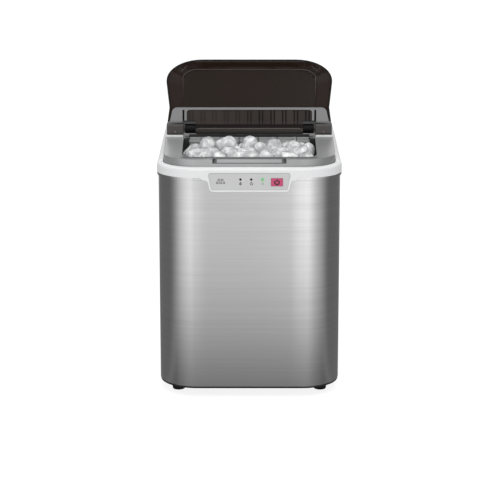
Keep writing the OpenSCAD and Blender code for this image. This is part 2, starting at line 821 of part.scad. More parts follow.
module tank() {
    color("#e6e8ea") difference() {
        union() {
            slab(tank_z, tank_top) difference() {
                tank_plan(0);
                tank_plan(-wall);
            }
            slab(tank_z, tank_z + wall) tank_plan(0);
            slab(tank_top - 2 * wall, tank_top - wall) difference() {
                tank_plan(3);
                tank_plan(-wall);
            }
            for (s = [-1, 1], y = [mouth_y + 12, mouth_end - 22])
                block([s > 0 ? basket_w / 2 - 8 : -tank_w / 2 + wall / 2, y, shelf_z - 8],
                    [s > 0 ? tank_w / 2 - wall / 2 : -basket_w / 2 + 8, y + 10, shelf_z]);
            rod_z(outlet_x, outlet_y, spigot_low, tank_z + 1, hose_bore);
        }
        rod_z(outlet_x, outlet_y, spigot_low - 1, tank_z + wall + 1, hose_bore - 1.2);
    }
}

module tank_foam() {
    color("#f3e7c2") difference() {
        slab(tank_z - foam_t, foam_top) tank_plan(foam_t);
        slab(tank_z - fit, foam_top + 1) tank_plan(fit);
        block([-board_w / 2 - 3, tank_y - foam_t - 1, panel_low_z - 2],
            [board_w / 2 + 3, board_y + board_t + 4, foam_top + 1]);
        rod_z(outlet_x, outlet_y, tank_z - foam_t - 1, tank_z + 1, hose_r + 1.5);
    }
}

basket_wall = 1.8;
basket_rear_cut = 26;
hole_pitch = 16;

module basket_plan(grow) {
    plan(basket_w + 2 * grow, mouth_y + basket_gap - grow, mouth_y + basket_gap + basket_l + grow,
        mouth_r - basket_gap + grow, 4 + grow);
}

module ice_basket() {
    color("#dfe3e6") difference() {
        union() {
            slab(basket_z, basket_top) difference() {
                basket_plan(0);
                basket_plan(-basket_wall);
            }
            slab(basket_z, basket_z + basket_wall) basket_plan(0);
        }
        block([-shovel_half - 2, mouth_y + basket_gap + basket_l - 4, basket_top - basket_rear_cut],
            [shovel_half + 2, mouth_end + 2, basket_top + 1]);
        for (i = [-4 : 4], j = [-1 : 1])
            rod_z(i * hole_pitch, mouth_y + mouth_l / 2 + j * hole_pitch, basket_z - 1, basket_z + 4, 3);
        for (i = [-4 : 4]) translate([i * hole_pitch, mouth_y - 2, basket_z + 14])
            cube([3, 12, basket_h * 0.5]);
    }
}

sensor_y = mouth_y + 44;

module ice_full_sensors() {
    color("#151515") for (s = [-1, 1]) {
        x = s * (tank_w / 2 - wall - fit);
        block([min(x, x - s * 6), sensor_y, tank_top - 24], [max(x, x - s * 6), sensor_y + 10, tank_top - 12]);
    }
}

stem_x = tank_w / 2 - 26;
stem_y = mouth_y + 30;
stem_r = 2.5;
float_travel = 16;
float_h = 14;

module float_stem() {
    color("#efefef") {
        rod_z(stem_x, stem_y, tank_z + wall, tank_z + 44, stem_r);
        rod_z(stem_x, stem_y, tank_z + wall, tank_z + wall + 3, 8);
        rod_z(stem_x, stem_y, tank_z + 42, tank_z + 44, 4.5);
    }
}

module water_float() {
    z0 = tank_z + wall + 3 + fit;
    color("#2a6fb0") translate([stem_x, stem_y, z0]) rotate_extrude()
        polygon([[stem_r + 0.1, 0], [8.5, 0], [9.5, 1], [9.5, float_h - 1], [8.5, float_h], [stem_r + 0.1, float_h]]);
}

// ---- ice unit ----

module ice_unit_frame() {
    x1 = tank_w / 2 - wall - 1;
    color("#f0f0f0") difference() {
        union() {
            block([-x1 - 6, unit_y, unit_top - 3], [x1 + 6, tray_axis_y + 12, unit_top]);
            for (s = [-1, 1]) {
                block([s > 0 ? cheek_x : -cheek_x - wall, tray_y0, tray_axis_z - 8],
                    [s > 0 ? cheek_x + wall : -cheek_x, tray_axis_y + 10, unit_top - 1]);
                block([s > 0 ? x1 + 3 : -x1 - 6, unit_y, tank_top + fit],
                    [s > 0 ? x1 + 6 : -x1 - 3, tray_axis_y + 12, unit_top - 1]);
            }
        }
        rod_x(-cheek_x - 20, cheek_x + 20, tray_axis_y, tray_axis_z, shaft_r + run_fit);
    }
}

function row_count(j) = finger_count - j;

module evaporator() {
    half = tray_half - 5;
    color("#c9ccd0") {
        block([-half, row_y[0] - finger_r - 4, evap_z], [half, row_y[1] + finger_r + 4, evap_z + evap_t]);
        for (j = [0, 1], i = [0 : row_count(j) - 1])
            translate([(i - (row_count(j) - 1) / 2) * finger_pitch, row_y[j], finger_low]) {
                translate([0, 0, finger_r]) cylinder(h = finger_l - finger_r + eps, r = finger_r);
                translate([0, 0, finger_r]) sphere(finger_r);
            }
    }
}

module water_tray() {
    color("#dfe9f2") {
        difference() {
            block([-tray_half, tray_y0, tray_z0], [tray_half, tray_y1, tray_z1]);
            block([-tray_half + 2, tray_y0 + 2, tray_z0 + 2], [tray_half - 2, tray_y1 - 2, tray_z1 + 1]);
        }
        for (s = [-1, 1]) block([s > 0 ? tray_half - 4 : -tray_half, tray_y1 - eps, tray_axis_z - shaft_r],
            [s > 0 ? tray_half : -tray_half + 4, tray_axis_y, tray_axis_z + shaft_r]);
        rod_x(-cheek_x - wall - 1, cheek_x + wall + 4, tray_axis_y, tray_axis_z, shaft_r);
        rod_x(-tray_half, tray_half, tray_axis_y, tray_axis_z, shaft_r);
    }
}

module tray_motor() {
    x0 = cheek_x + wall + 0.3;
    color("#3b3f45") difference() {
        union() {
            rod_x(x0 + 1, x0 + 12, tray_axis_y, tray_axis_z + 6, 15);
            rod_x(x0, x0 + 2, tray_axis_y, tray_axis_z, 7);
            block([x0, tray_axis_y - 20, tray_axis_z + 2], [x0 + 1.5, tray_axis_y + 20, tray_axis_z + 10]);
        }
        rod_x(x0 - 1, x0 + 5, tray_axis_y, tray_axis_z, shaft_r + run_fit);
    }
}

shovel_l = 34;
slot_off = 3.6;

// Comb that hangs behind the basket and sweeps the ice forward
module ice_shovel() {
    color("#8a8c8f") {
        rod_x(-lug_x - 3.5, lug_x + 3.5, shovel_y, shovel_z, shaft_r);
        difference() {
            block([-shovel_half, shovel_y - 2.5, shovel_z - shovel_l], [shovel_half, shovel_y, shovel_z + comb_up]);
            for (i = [0 : finger_count - 1]) translate([(i - (finger_count - 1) / 2) * finger_pitch - slot_off, 0, 0])
                block([-1.5, shovel_y - 5, shovel_z - shovel_l - 1], [1.5, shovel_y + 2, shovel_z - 7]);
        }
        for (i = [0 : finger_count - 1]) translate([(i - (finger_count - 1) / 2) * finger_pitch, 0, 0])
            block([-1, shovel_y - 5.5, shovel_z - shovel_l + 4], [1, shovel_y - 2.4, shovel_z + comb_up]);
    }
}

// ---- water circuit ----

module water_pump() {
    h = 36;
    color("#2e3138") difference() {
        union() {
            rod_z(pump_x, pump_y, pump_z, pump_z + h, pump_r);
            rod_z(pump_x, pump_y, pump_z + h, pump_z + h + 4, pump_r - 4);
            rod_z(pump_x, pump_y, pump_z + h, pump_z + h + 16, hose_bore);
            rod_y(pump_x, pump_y + pump_r - 3, pump_y + pump_r + 12, pump_z + 24, hose_bore);
            block([pump_x - pump_r - 8, pump_y - 8, pump_z], [pump_x + pump_r + 8, pump_y + 8, pump_z + 3]);
        }
        rod_z(pump_x, pump_y, pump_z + h, pump_z + h + 17, hose_bore - 1.4);
    }
}

module tube_z(x, y, z0, z1) {
    difference() {
        rod_z(x, y, z0, z1, hose_r);
        rod_z(x, y, z0 - 1, z1 + 1, hose_bore + 0.1);
    }
}

module suction_hose() {
    color("#d8d8d0") tube_z(pump_x, pump_y, pump_z + 41, tank_z - foam_t + 4);
}

feed_y = tank_end + foam_t + hose_r + 4;
feed_z = unit_top - 3 - hose_r - 1;

module feed_hose() {
    z = pump_z + 24;
    y0 = pump_y + pump_r + 2;
    color("#d8d8d0") difference() {
        run([[pump_x, y0, z], [pump_x, feed_y, z], [pump_x, feed_y, feed_z], [pump_x, tray_axis_y + 14, feed_z]], hose_r, 2 * hose_r);
        rod_y(pump_x, y0 - 1, y0 + 13, z, hose_bore + 0.1);
    }
}

cap_r = 15;

module drain_cap() {
    color("#1d1d1f") difference() {
        union() {
            rod_z(0, drain_y, 4, foot_h - 2.4, cap_r);
            rod_z(0, drain_y, foot_h - 2.5, foot_h + 10, neck_r - run_fit);
        }
        for (i = [0 : 11]) rotate_about(i * 30) rod_z(cap_r + 0.8, drain_y, 3, foot_h, 2);
        block([-9, drain_y - 1.5, 3], [9, drain_y + 1.5, 6]);
    }
}

module rotate_about(a) {
    translate([0, drain_y, 0]) rotate([0, 0, a]) translate([0, -drain_y, 0]) children();
}

module drain_seal() {
    color("#7a2f2f") difference() {
        rod_z(0, drain_y, foot_h - 1.9, foot_h, cap_r - 3);
        rod_z(0, drain_y, foot_h - 3, foot_h + 1, neck_r + 0.2);
    }
}

// ---- cooling ----

comp_feet = [for (a = [45, 135, 225, 315]) [comp_x + (comp_r - 2) * cos(a) * 1.12, comp_y + (comp_r - 2) * sin(a) * 1.12]];

module compressor() {
    r = comp_r;
    z = comp_z;
    color("#17181a") difference() {
        union() {
            translate([comp_x, comp_y, z]) rotate_extrude($fn = 64)
                polygon(concat([[0, 0], [r * 0.72, 0]],
                    [for (i = [0 : 8]) let (a = -60 + i * 60 / 8) [r * 0.86 + r * 0.12 * cos(a), 10 + 10 * sin(a)]],
                    [[r * 0.98, comp_h * 0.52], [r, comp_h * 0.53], [r, comp_h * 0.57], [r * 0.96, comp_h * 0.58]],
                    [for (i = [0 : 10]) let (a = i * 9) [r * 0.96 * cos(a), comp_h * 0.6 + comp_h * 0.4 * sin(a)]]));
            intersection() {
                translate([comp_x, comp_y, z]) cylinder(h = 3, r = r * 1.42);
                for (a = [45, 135]) translate([comp_x, comp_y, z]) rotate([0, 0, a])
                    translate([-r * 1.3, -9, 0]) cube([r * 2.6, 18, 3]);
            }
            block([comp_x + r * 0.6, comp_y - 14, z + 34], [comp_x + r + box_out, comp_y + 14, z + 66]);
        }
        for (p = comp_feet) rod_z(p[0], p[1], z - 1, z + 4, 4.2);
        suction_stub(pipe_r + run_fit);
        discharge_stub(pipe_r + run_fit);
    }
}

stub_z = comp_z + comp_h * 0.78;

module suction_stub(r) {
    rod_z(comp_x + comp_r * 0.45, comp_y, stub_z, stub_z + comp_h, r);
}

module discharge_stub(r) {
    rod_z(comp_x - comp_r * 0.5, comp_y, stub_z, stub_z + comp_h, r);
}

module compressor_grommets() {
    low = foot_h + wall + 2;
    color("#222222") for (p = comp_feet) translate([p[0], p[1], low]) rotate_extrude()
        polygon([[0, 0], [8, 0], [8, comp_z - low - fit], [4, comp_z - low - fit], [4, comp_z - low + 3.2],
            [6, comp_z - low + 3.4], [5, comp_z - low + 6], [0, comp_z - low + 6]]);
}

fin_t = 0.6;
tube_rows = 5;

module condenser() {
    pitch = (cond_len - 8) / (fin_count - 1);
    step = cond_h / tube_rows;
    color("#b9bdc2") {
        for (i = [0 : fin_count - 1]) block([cond_x, cond_y + 4 + i * pitch - fin_t / 2, cond_z],
            [cond_x + cond_t, cond_y + 4 + i * pitch + fin_t / 2, cond_z + cond_h]);
        for (k = [0 : tube_rows - 1]) rod_y(cond_x + cond_t / 2, cond_y + 1, cond_y + cond_len - 1,
            cond_z + (k + 0.5) * step, pipe_r);
        for (k = [0 : tube_rows - 2]) {
            y = k % 2 == 0 ? cond_y + cond_len - 1 : cond_y + 1;
            rod_z(cond_x + cond_t / 2, y, cond_z + (k + 0.5) * step, cond_z + (k + 1.5) * step, pipe_r);
        }
        for (y = [cond_y, cond_y + cond_len - 1]) block([cond_x, y, foot_h + wall + 0.1], [cond_x + 3, y + 1, cond_z + cond_h]);
    }
}

module fan_shroud() {
    x0 = cond_x + cond_t + fit;
    half = cond_len / 2;
    color("#26272a") {
        difference() {
            union() {
                block([x0, fan_y - half, fan_z - cond_h / 2], [x0 + 2, fan_y + half, fan_z + cond_h / 2]);
                rod_x(x0, x0 + shroud_t, fan_y, fan_z, fan_r + 5);
            }
            rod_x(x0 - 1, x0 + shroud_t + 1, fan_y, fan_z, fan_r + 2.5);
        }
        for (a = [0, 90, 180, 270]) translate([x0 + shroud_t - 3, fan_y, fan_z]) rotate([a, 0, 0])
            block([0, -2.5, 20], [3, 2.5, fan_r + 4]);
        difference() {
            rod_x(x0 + shroud_t - 3, x0 + shroud_t, fan_y, fan_z, 22);
            rod_x(x0 + shroud_t - 4, x0 + shroud_t + 1, fan_y, fan_z, 8);
        }
        for (s = [-1, 1]) block([x0, fan_y + s * half * 0.7 - 6, foot_h + wall + 0.1],
            [x0 + 2, fan_y + s * half * 0.7 + 6, fan_z - cond_h / 2 + 1]);
    }
}

module fan_blade() {
    x0 = cond_x + cond_t + fit + 6;
    color("#e8e8e8") difference() {
        union() {
            rod_x(x0, x0 + 13, fan_y, fan_z, 13);
            for (i = [0 : blade_count - 1]) translate([x0 + 6.5, fan_y, fan_z])
                rotate([i * 360 / blade_count, 0, 0]) rotate([0, 0, 28])
                    block([-0.8, -9, 11], [0.8, 9, fan_r - 1]);
        }
        rod_x(x0 + 2, x0 + 20, fan_y, fan_z, 2 + run_fit);
    }
}

module fan_motor() {
    x0 = cond_x + cond_t + fit;
    color("#5a5d61") {
        rod_x(x0 + 9, x0 + shroud_t + 1, fan_y, fan_z, 2);
        rod_x(x0 + shroud_t + 0.3, x0 + shroud_t + 24, fan_y, fan_z, 19);
        rod_x(x0 + shroud_t - 4, x0 + shroud_t + 1, fan_y, fan_z, 7.8);
    }
}

drier_x = cond_x + 8;
riser_x = fan_x + 30;
drier_y = cond_y - 14;
drier_z = cond_z + 52;

module filter_drier() {
    color("#b87333") translate([drier_x, drier_y, drier_z]) rotate_extrude()
        polygon([[0, -30], [pipe_r, -30], [pipe_r, -24], [8, -18], [8, 18], [pipe_r, 24], [pipe_r, 30], [0, 30]]);
}

return_x = comp_x + comp_r * 0.45;
discharge_x = comp_x - comp_r * 0.5;
evap_face = row_y[1] + finger_r + 4;

module discharge_pipe() {
    z = stub_z + comp_h * 0.4;
    x = cond_x + cond_t / 2;
    lane = rear_y - 22;
    color("#b87333") run([[discharge_x, comp_y, stub_z + comp_h * 0.12], [discharge_x, comp_y, z],
        [discharge_x, lane, z], [x, lane, z], [x, lane, cond_z + cond_h + pipe_r + 0.5]], pipe_r, 2.5 * pipe_r);
}

module liquid_pipe() {
    z = evap_z + evap_t / 2;
    y = tank_end + foam_t + pipe_r + 1;
    low = tank_z - foam_t - pipe_r;
    color("#b87333") run([[drier_x, drier_y, drier_z + 30.2], [drier_x, drier_y, low],
        [riser_x, drier_y, low], [riser_x, y, low], [riser_x, y, z], [riser_x, evap_face + 0.2, z]],
        pipe_r * 0.6, 2 * pipe_r);
}

module return_pipe() {
    z = evap_z + evap_t / 2;
    y = tank_end + foam_t + pipe_r + 2;
    color("#b87333") run([[40, evap_face + 0.2, z], [40, y + 4, z], [return_x, y + 4, z],
        [return_x, comp_y, z], [return_x, comp_y, stub_z + comp_h * 0.12]], pipe_r, 2.5 * pipe_r);
}

module power_board() {
    x0 = body_w / 2 - 85;
    y0 = pump_y - 50;
    z0 = foot_h + wall;
    color("#1f6b3a") block([x0, y0, z0 + 6], [x0 + 62, y0 + 74, z0 + 7.6]);
    color("#d8d8d8") for (x = [x0 + 5, x0 + 57], y = [y0 + 5, y0 + 69]) rod_z(x, y, z0, z0 + 6, 3);
    color("#f2c230") block([x0 + 8, y0 + 8, z0 + 7.6], [x0 + 30, y0 + 34, z0 + 28]);
    color("#2a2a2a") block([x0 + 38, y0 + 12, z0 + 7.6], [x0 + 54, y0 + 28, z0 + 22]);
    color("#2a2a2a") rod_z(x0 + 20, y0 + 54, z0 + 7.6, z0 + 30, 8);
}

steel_wrap();
base_pan();
feet();
rear_panel();
cord_gland();
panel_screws();
top_collar();
control_panel();
power_button();
button_switch();
indicator_lenses();
control_board();
deck();
hinge_ledges();
rear_cover();
hinge_block_left();
hinge_block_right();
hinge_pins();
lid_shell();
lid_hinge_frame();
lid_barrel();
tank();
tank_foam();
ice_basket();
ice_full_sensors();
float_stem();
water_float();
ice_unit_frame();
evaporator();
water_tray();
tray_motor();
ice_shovel();
water_pump();
suction_hose();
feed_hose();
drain_cap();
drain_seal();
compressor();
compressor_grommets();
condenser();
fan_shroud();
fan_blade();
fan_motor();
filter_drier();
discharge_pipe();
liquid_pipe();
return_pipe();
power_board();
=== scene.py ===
"""Looks of the bench-top bullet ice maker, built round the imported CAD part.

Lengths are in metres, in the frame of the part. A pair of lengths is a zone: the two places
between which a surface changes.
"""

import json
import math
import random

import bmesh
import bpy
import numpy as np
from mathutils import Matrix, Vector


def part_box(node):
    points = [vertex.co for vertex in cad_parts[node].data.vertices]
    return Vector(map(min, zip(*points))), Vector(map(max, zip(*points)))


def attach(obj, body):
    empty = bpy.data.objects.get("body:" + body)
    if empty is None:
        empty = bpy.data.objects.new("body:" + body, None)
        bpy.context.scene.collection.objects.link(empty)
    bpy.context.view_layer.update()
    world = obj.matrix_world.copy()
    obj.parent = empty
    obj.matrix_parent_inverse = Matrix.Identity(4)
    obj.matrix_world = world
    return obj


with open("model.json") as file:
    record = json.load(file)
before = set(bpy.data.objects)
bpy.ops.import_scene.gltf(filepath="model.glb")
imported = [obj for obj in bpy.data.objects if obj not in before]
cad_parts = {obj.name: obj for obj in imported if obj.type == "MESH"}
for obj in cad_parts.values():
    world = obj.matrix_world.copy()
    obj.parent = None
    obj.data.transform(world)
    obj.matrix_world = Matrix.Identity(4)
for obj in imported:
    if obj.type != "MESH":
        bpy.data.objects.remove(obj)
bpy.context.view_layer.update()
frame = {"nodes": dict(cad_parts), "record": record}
NODES = frame["nodes"]

COLLAR_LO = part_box("top_collar")[0]
WRAP_LO, WRAP_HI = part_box("steel_wrap")
PANEL_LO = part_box("control_panel")[0]
BUTTON_LO, BUTTON_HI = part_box("power_button")
LENS_LO, LENS_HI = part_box("indicator_lenses")
BASKET_LO, BASKET_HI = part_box("ice_basket")
DECK_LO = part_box("deck")[0]
SHOVEL_LO, SHOVEL_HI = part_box("ice_shovel")
BLOCK_LO, BLOCK_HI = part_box("hinge_block_right")

scene = bpy.context.scene
scene.view_settings.view_transform = "Standard"


# ---------------------------------------------------------------- places on the part

def around(line, before, after=None):
    """Zone from a little before a line to a little after it."""
    return line - before, line + (before if after is None else after)


JOINTS = {joint["name"]: joint for joint in frame["record"]["behaviour"]["joints"]}
HINGE = Vector(JOINTS["lid_hinge"]["pos_m"])
LID_LEAN = math.radians(8)
LID_PLACE = Matrix.Translation(HINGE) @ Matrix.Rotation(-math.pi / 2 - LID_LEAN, 4, "X")

# body: radius of its front corners, and the slight crown at the two ends of the flat front
FRONT_R = 0.05
CROWN_IN = 0.016
CROWN_TILT = 0.06

# collar: half width of the bezel, its flare, the hem faced with steel beside it, and the places
# along y where the collar's front face ends
BEZEL_SIDE = 0.0583
BEZEL_FLARE = 0.0060
HEM_TOP = 0.2949
HEM_H = 0.0034
COLLAR_SKIN = (COLLAR_LO.y + 0.010, COLLAR_LO.y + 0.011)

# the panel's three lamps; the right one is lit
LAMP_Z = (LENS_LO.z + LENS_HI.z) / 2
LAMP_XS = [LENS_LO.x + 0.002, (LENS_LO.x + LENS_HI.x) / 2, LENS_HI.x - 0.002]

# deck: its plane, and the mouth, whose walls are painted black as shade
DECK_SLOPE = math.tan(math.radians(9))
DECK_EDGE_Z = DECK_LO.z + 0.00915
MOUTH_HALF = 0.088
MOUTH_FRONT = -0.1438
MOUTH_SHADE_DEPTH = (0.0005, 0.0011)
MOUTH_WALL_SIDE = (MOUTH_HALF + 0.0006, MOUTH_HALF + 0.0012)
MOUTH_WALL_FRONT = (MOUTH_FRONT - 0.0012, MOUTH_FRONT - 0.0006)
MOUTH_WALL_REAR = (HINGE.y - 0.003, HINGE.y)

# deck: darker tones on its lip before the mouth and on the rails, and painted shade behind the
# mouth under the barrel and towards the right
LIP_START = (MOUTH_FRONT - 0.0095, MOUTH_FRONT - 0.0065)
LIP_END = (MOUTH_FRONT, MOUTH_FRONT + 0.003)
REAR_START = around(-0.0673, 0.0008, 0.0002)
TO_RIGHT = (-0.02, 0.09)
RAIL_START = (0.088, 0.094)

# deck: the finger scoop in its front lip, with painted shade on its ends and foot
LIP_TOP = 0.317
SCOOP_HALF = 0.0475
SCOOP_SIDE = around(SCOOP_HALF, 0.0002)
SCOOP_END_X = (SCOOP_HALF - 0.0062, SCOOP_HALF - 0.0054)
SCOOP_END_Y = (-0.1606, -0.1602)
SCOOP_FOOT_Y = (-0.1682, -0.1676)
SCOOP_FLOOR = (LIP_TOP - 0.0056, LIP_TOP - 0.0052)

# lid, measured from the hinge: up the lid, across it, and through it
PANE_REACH = 0.0796
PANE_HALF = 0.0897
PANE_TOP = around(PANE_REACH, 0.0006, 0.0008)
PANE_SIDE = around(PANE_HALF, 0.0006, 0.0008)
RIM_REACH = 0.0899
RIM_FACE = (-0.0079, -0.0071)

# barrel: its necks, painted black as the shade of the gaps beside the knuckles, the ribs of its
# window with painted shade beside each, and heights over the hinge
NECK_START = around(0.072, 0.0004)
RIB_PITCH = 0.0156
RIB_SHADE_OFF = 0.0022
RIB_SHADE_EDGE = (0.0004, 0.0012)
RIB_SHADES_TO_RIGHT = (-0.03, 0.02)
ROLL_TOP = (0.0014, 0.0024)
WINDOW_FOOT = (0.0064, 0.0072)
WINDOW_SHADE = (0.0066, 0.0076)

# comb: the painted shade of the slots between its teeth, as shares of their pitch, and heights of
# its shades
SLOT_PITCH = 0.0255
SLOT_SHIFT = 0.03
SLOT_EDGE = (0.03, 0.06)
COMB_STEP = (0.3265, 0.3272)
COMB_SHADE = (0.3288, 0.3298)


def deck_z(y):
    """Height of the deck's plane."""
    return DECK_EDGE_Z + DECK_SLOPE * (y - DECK_LO.y)


# ---------------------------------------------------------------- nodes

class Nodes:
    """Shorthand for one node tree."""

    def __init__(self, tree):
        self.tree = tree
        tree.nodes.clear()

    def add(self, kind, **settings):
        node = self.tree.nodes.new(kind)
        for key, value in settings.items():
            setattr(node, key, value)
        return node

    def link(self, a, b):
        self.tree.links.new(a, b)

    def feed(self, socket, value):
        """Links an output to the socket, or gives the socket a plain value."""
        if isinstance(value, bpy.types.NodeSocket):
            self.link(value, socket)
        elif socket.type == "RGBA":
            socket.default_value = (*value, 1)
        else:
            socket.default_value = value

    def math(self, op, a, b=None, clamp=False):
        node = self.add("ShaderNodeMath", operation=op, use_clamp=clamp)
        self.feed(node.inputs[0], a)
        if b is not None:
            self.feed(node.inputs[1], b)
        return node.outputs[0]

    def plus(self, a, b):
        return self.math("ADD", a, b)

    def minus(self, a, b):
        return self.math("SUBTRACT", a, b)

    def times(self, a, b):
        return self.math("MULTIPLY", a, b)

    def size(self, a):
        return self.math("ABSOLUTE", a)

    def distance(self, a, b):
        return self.math("SQRT", self.plus(self.times(a, a), self.times(b, b)))

    def smooth(self, value, lo, hi, out_lo=0.0, out_hi=1.0):
        node = self.add("ShaderNodeMapRange", interpolation_type="SMOOTHSTEP")
        for i, v in enumerate((value, lo, hi, out_lo, out_hi)):
            self.feed(node.inputs[i], v)
        return node.outputs[0]

    def until(self, value, lo, hi):
        """1 before the zone, 0 past it."""
        return self.smooth(value, lo, hi, 1.0, 0.0)

    def mix(self, factor, a, b):
        node = self.add("ShaderNodeMix", data_type="RGBA")
        for i, v in ((0, factor), (6, a), (7, b)):
            self.feed(node.inputs[i], v)
        return node.outputs[2]

    def mix_values(self, factor, a, b):
        node = self.add("ShaderNodeMix", data_type="FLOAT")
        for i, v in ((0, factor), (2, a), (3, b)):
            self.feed(node.inputs[i], v)
        return node.outputs[0]

    def mix_shaders(self, factor, a, b):
        node = self.add("ShaderNodeMixShader")
        for i, v in enumerate((factor, a, b)):
            self.feed(node.inputs[i], v)
        return node.outputs[0]

    def shader(self, kind, color, **sockets):
        node = self.add(kind)
        self.feed(node.inputs["Color"], color)
        for key, value in sockets.items():
            self.feed(node.inputs[key], value)
        return node.outputs[0]

    def coords(self, scale=(1, 1, 1)):
        if not hasattr(self, "place"):
            self.place = self.add("ShaderNodeTexCoord").outputs["Object"]
        node = self.add("ShaderNodeMapping")
        node.inputs["Scale"].default_value = scale
        self.link(self.place, node.inputs["Vector"])
        return node.outputs[0]

    def xyz(self):
        if not hasattr(self, "split"):
            node = self.add("ShaderNodeSeparateXYZ")
            self.link(self.coords(), node.inputs[0])
            self.split = node.outputs
        return self.split

    def noise(self, scale, detail=2.0, stretch=(1, 1, 1), rough=0.5):
        node = self.add("ShaderNodeTexNoise")
        self.link(self.coords(stretch), node.inputs["Vector"])
        node.inputs["Scale"].default_value = scale
        node.inputs["Detail"].default_value = detail
        node.inputs["Roughness"].default_value = rough
        return node.outputs["Fac"]

    def edge(self, radius):
        """Normal with the solid's edges rounded."""
        node = self.add("ShaderNodeBevel", samples=6)
        node.inputs["Radius"].default_value = radius
        return node.outputs[0]

    def bump(self, height, strength, distance, normal=None):
        node = self.add("ShaderNodeBump")
        node.inputs["Strength"].default_value = strength
        node.inputs["Distance"].default_value = distance
        self.link(height, node.inputs["Height"])
        if normal is not None:
            self.link(normal, node.inputs["Normal"])
        return node.outputs[0]


def new_material(name):
    mat = bpy.data.materials.new(name)
    mat.use_nodes = True
    return mat, Nodes(mat.node_tree)


def finish_material(mat, n, shader):
    n.link(shader, n.add("ShaderNodeOutputMaterial").inputs["Surface"])
    return mat


def principled(n, color, rough, normal=None, **sockets):
    node = n.add("ShaderNodeBsdfPrincipled")
    n.feed(node.inputs["Base Color"], color)
    n.feed(node.inputs["Roughness"], rough)
    if normal is not None:
        n.link(normal, node.inputs["Normal"])
    for key, value in sockets.items():
        n.feed(node.inputs[key.replace("_", " ")], value)
    return node.outputs[0]


def tone(n, color, amount=0.02, scale=40.0):
    """Colour with a soft mottling of a few per cent."""
    lo = tuple(max(0.0, c * (1 - amount)) for c in color)
    hi = tuple(min(1.0, c * (1 + amount)) for c in color)
    return n.mix(n.noise(scale, 3.0), lo, hi)


def moulded(n, grain, round_off, strength=0.3, depth=0.00003):
    """Normal of a moulded face: fine grain and rounded edges."""
    return n.bump(n.noise(grain), strength, depth, n.edge(round_off))


def uneven(n, lo, hi):
    """Roughness that wanders a little over the surface."""
    return n.smooth(n.noise(60.0, 3.0), 0.3, 0.7, lo, hi)


def plastic(name, color, rough=0.4, grain=1800.0, depth=0.00004, round_off=0.0006, coat=0.0,
            mottle=0.03, gloss=0.5):
    """Moulded plastic or paint: fine grain, slight mottling, rounded edges."""
    mat, n = new_material(name)
    shader = principled(n, tone(n, color, mottle, 35.0),
                        uneven(n, rough * 0.88, min(1.0, rough * 1.12)),
                        moulded(n, grain, round_off, 0.35, depth),
                        Coat_Weight=coat, Coat_Roughness=0.08, Specular_IOR_Level=gloss)
    return finish_material(mat, n, shader)


def metal(name, color, rough, stretch=(1, 1, 1), scale=300.0):
    """Plain or plated metal with drawn or rolled streaks."""
    mat, n = new_material(name)
    streak = n.noise(scale, 3.0, stretch)
    shader = principled(n, tone(n, color, 0.05, 60.0),
                        n.smooth(streak, 0.25, 0.75, rough * 0.8, rough * 1.25),
                        n.bump(streak, 0.25, 0.00003, n.edge(0.0004)), Metallic=1.0)
    return finish_material(mat, n, shader)


def frosted(name, color, clear=0.35):
    """Cloudy plastic that lets some light through."""
    mat, n = new_material(name)
    shader = principled(n, tone(n, color), 0.35, moulded(n, 900.0, 0.0005, 0.2, 0.00005),
                        Transmission_Weight=clear, IOR=1.49)
    return finish_material(mat, n, shader)


def ink(name, color, rough=0.5):
    """Printed ink, a little uneven in tone."""
    mat, n = new_material(name)
    return finish_material(mat, n, principled(n, tone(n, color, 0.1, 200.0), rough))


# ---------------------------------------------------------------- materials

def steel_shader(n):
    """Sheet steel brushed along its width: streaks run level round the body."""
    x = n.xyz()[0]
    fine = n.noise(1.0, 3.0, stretch=(14.0, 14.0, 4200.0), rough=0.65)
    broad = n.noise(1.0, 3.0, stretch=(2.5, 2.5, 330.0), rough=0.6)
    streak = n.plus(n.times(fine, 0.62), n.times(broad, 0.38))
    color = n.mix(n.smooth(streak, 0.3, 0.7), (0.565, 0.565, 0.568), (0.645, 0.645, 0.648))
    rough = n.smooth(streak, 0.3, 0.7, 0.34, 0.29)
    flat = WRAP_HI.x - FRONT_R
    past = n.math("MAXIMUM", n.minus(n.size(x), flat - CROWN_IN), 0.0)
    inner = n.math("MINIMUM", past, CROWN_IN)
    crown = n.times(n.times(inner, inner), -CROWN_TILT / (2 * CROWN_IN))
    normal = n.bump(streak, 0.10, 0.00003, n.bump(crown, 1.0, 1.0, n.edge(0.0005)))
    tangent = n.add("ShaderNodeTangent", direction_type="RADIAL", axis="Z").outputs[0]
    return principled(n, color, rough, normal, Metallic=1.0, Anisotropic=0.7,
                      Anisotropic_Rotation=0.25, Tangent=tangent)


def brushed_steel():
    mat, n = new_material("brushed_steel")
    return finish_material(mat, n, steel_shader(n))


def collar_material():
    """White collar; its hem beside the bezel is faced with the sheet's steel."""
    mat, n = new_material("collar_white")
    x, y, z = n.xyz()
    white = principled(n, tone(n, (0.83, 0.835, 0.84), 0.012, 35.0), uneven(n, 0.37, 0.47),
                       moulded(n, 2200.0, 0.0009, 0.35, 0.00002))
    beside = n.size(x)
    outside = n.math("MAXIMUM", n.smooth(beside, BEZEL_SIDE, BEZEL_SIDE + 0.0004),
                     n.smooth(y, *COLLAR_SKIN))
    flare = n.smooth(beside, BEZEL_SIDE, BEZEL_SIDE + BEZEL_FLARE, HEM_H, 0.0)
    edge = n.math("MAXIMUM", n.minus(HEM_TOP, flare), n.smooth(y, *COLLAR_SKIN, 0.0, HEM_TOP))
    hem = n.times(outside, n.until(n.minus(z, edge), -0.0002, 0.0002))
    return finish_material(mat, n, n.mix_shaders(hem, white, steel_shader(n)))


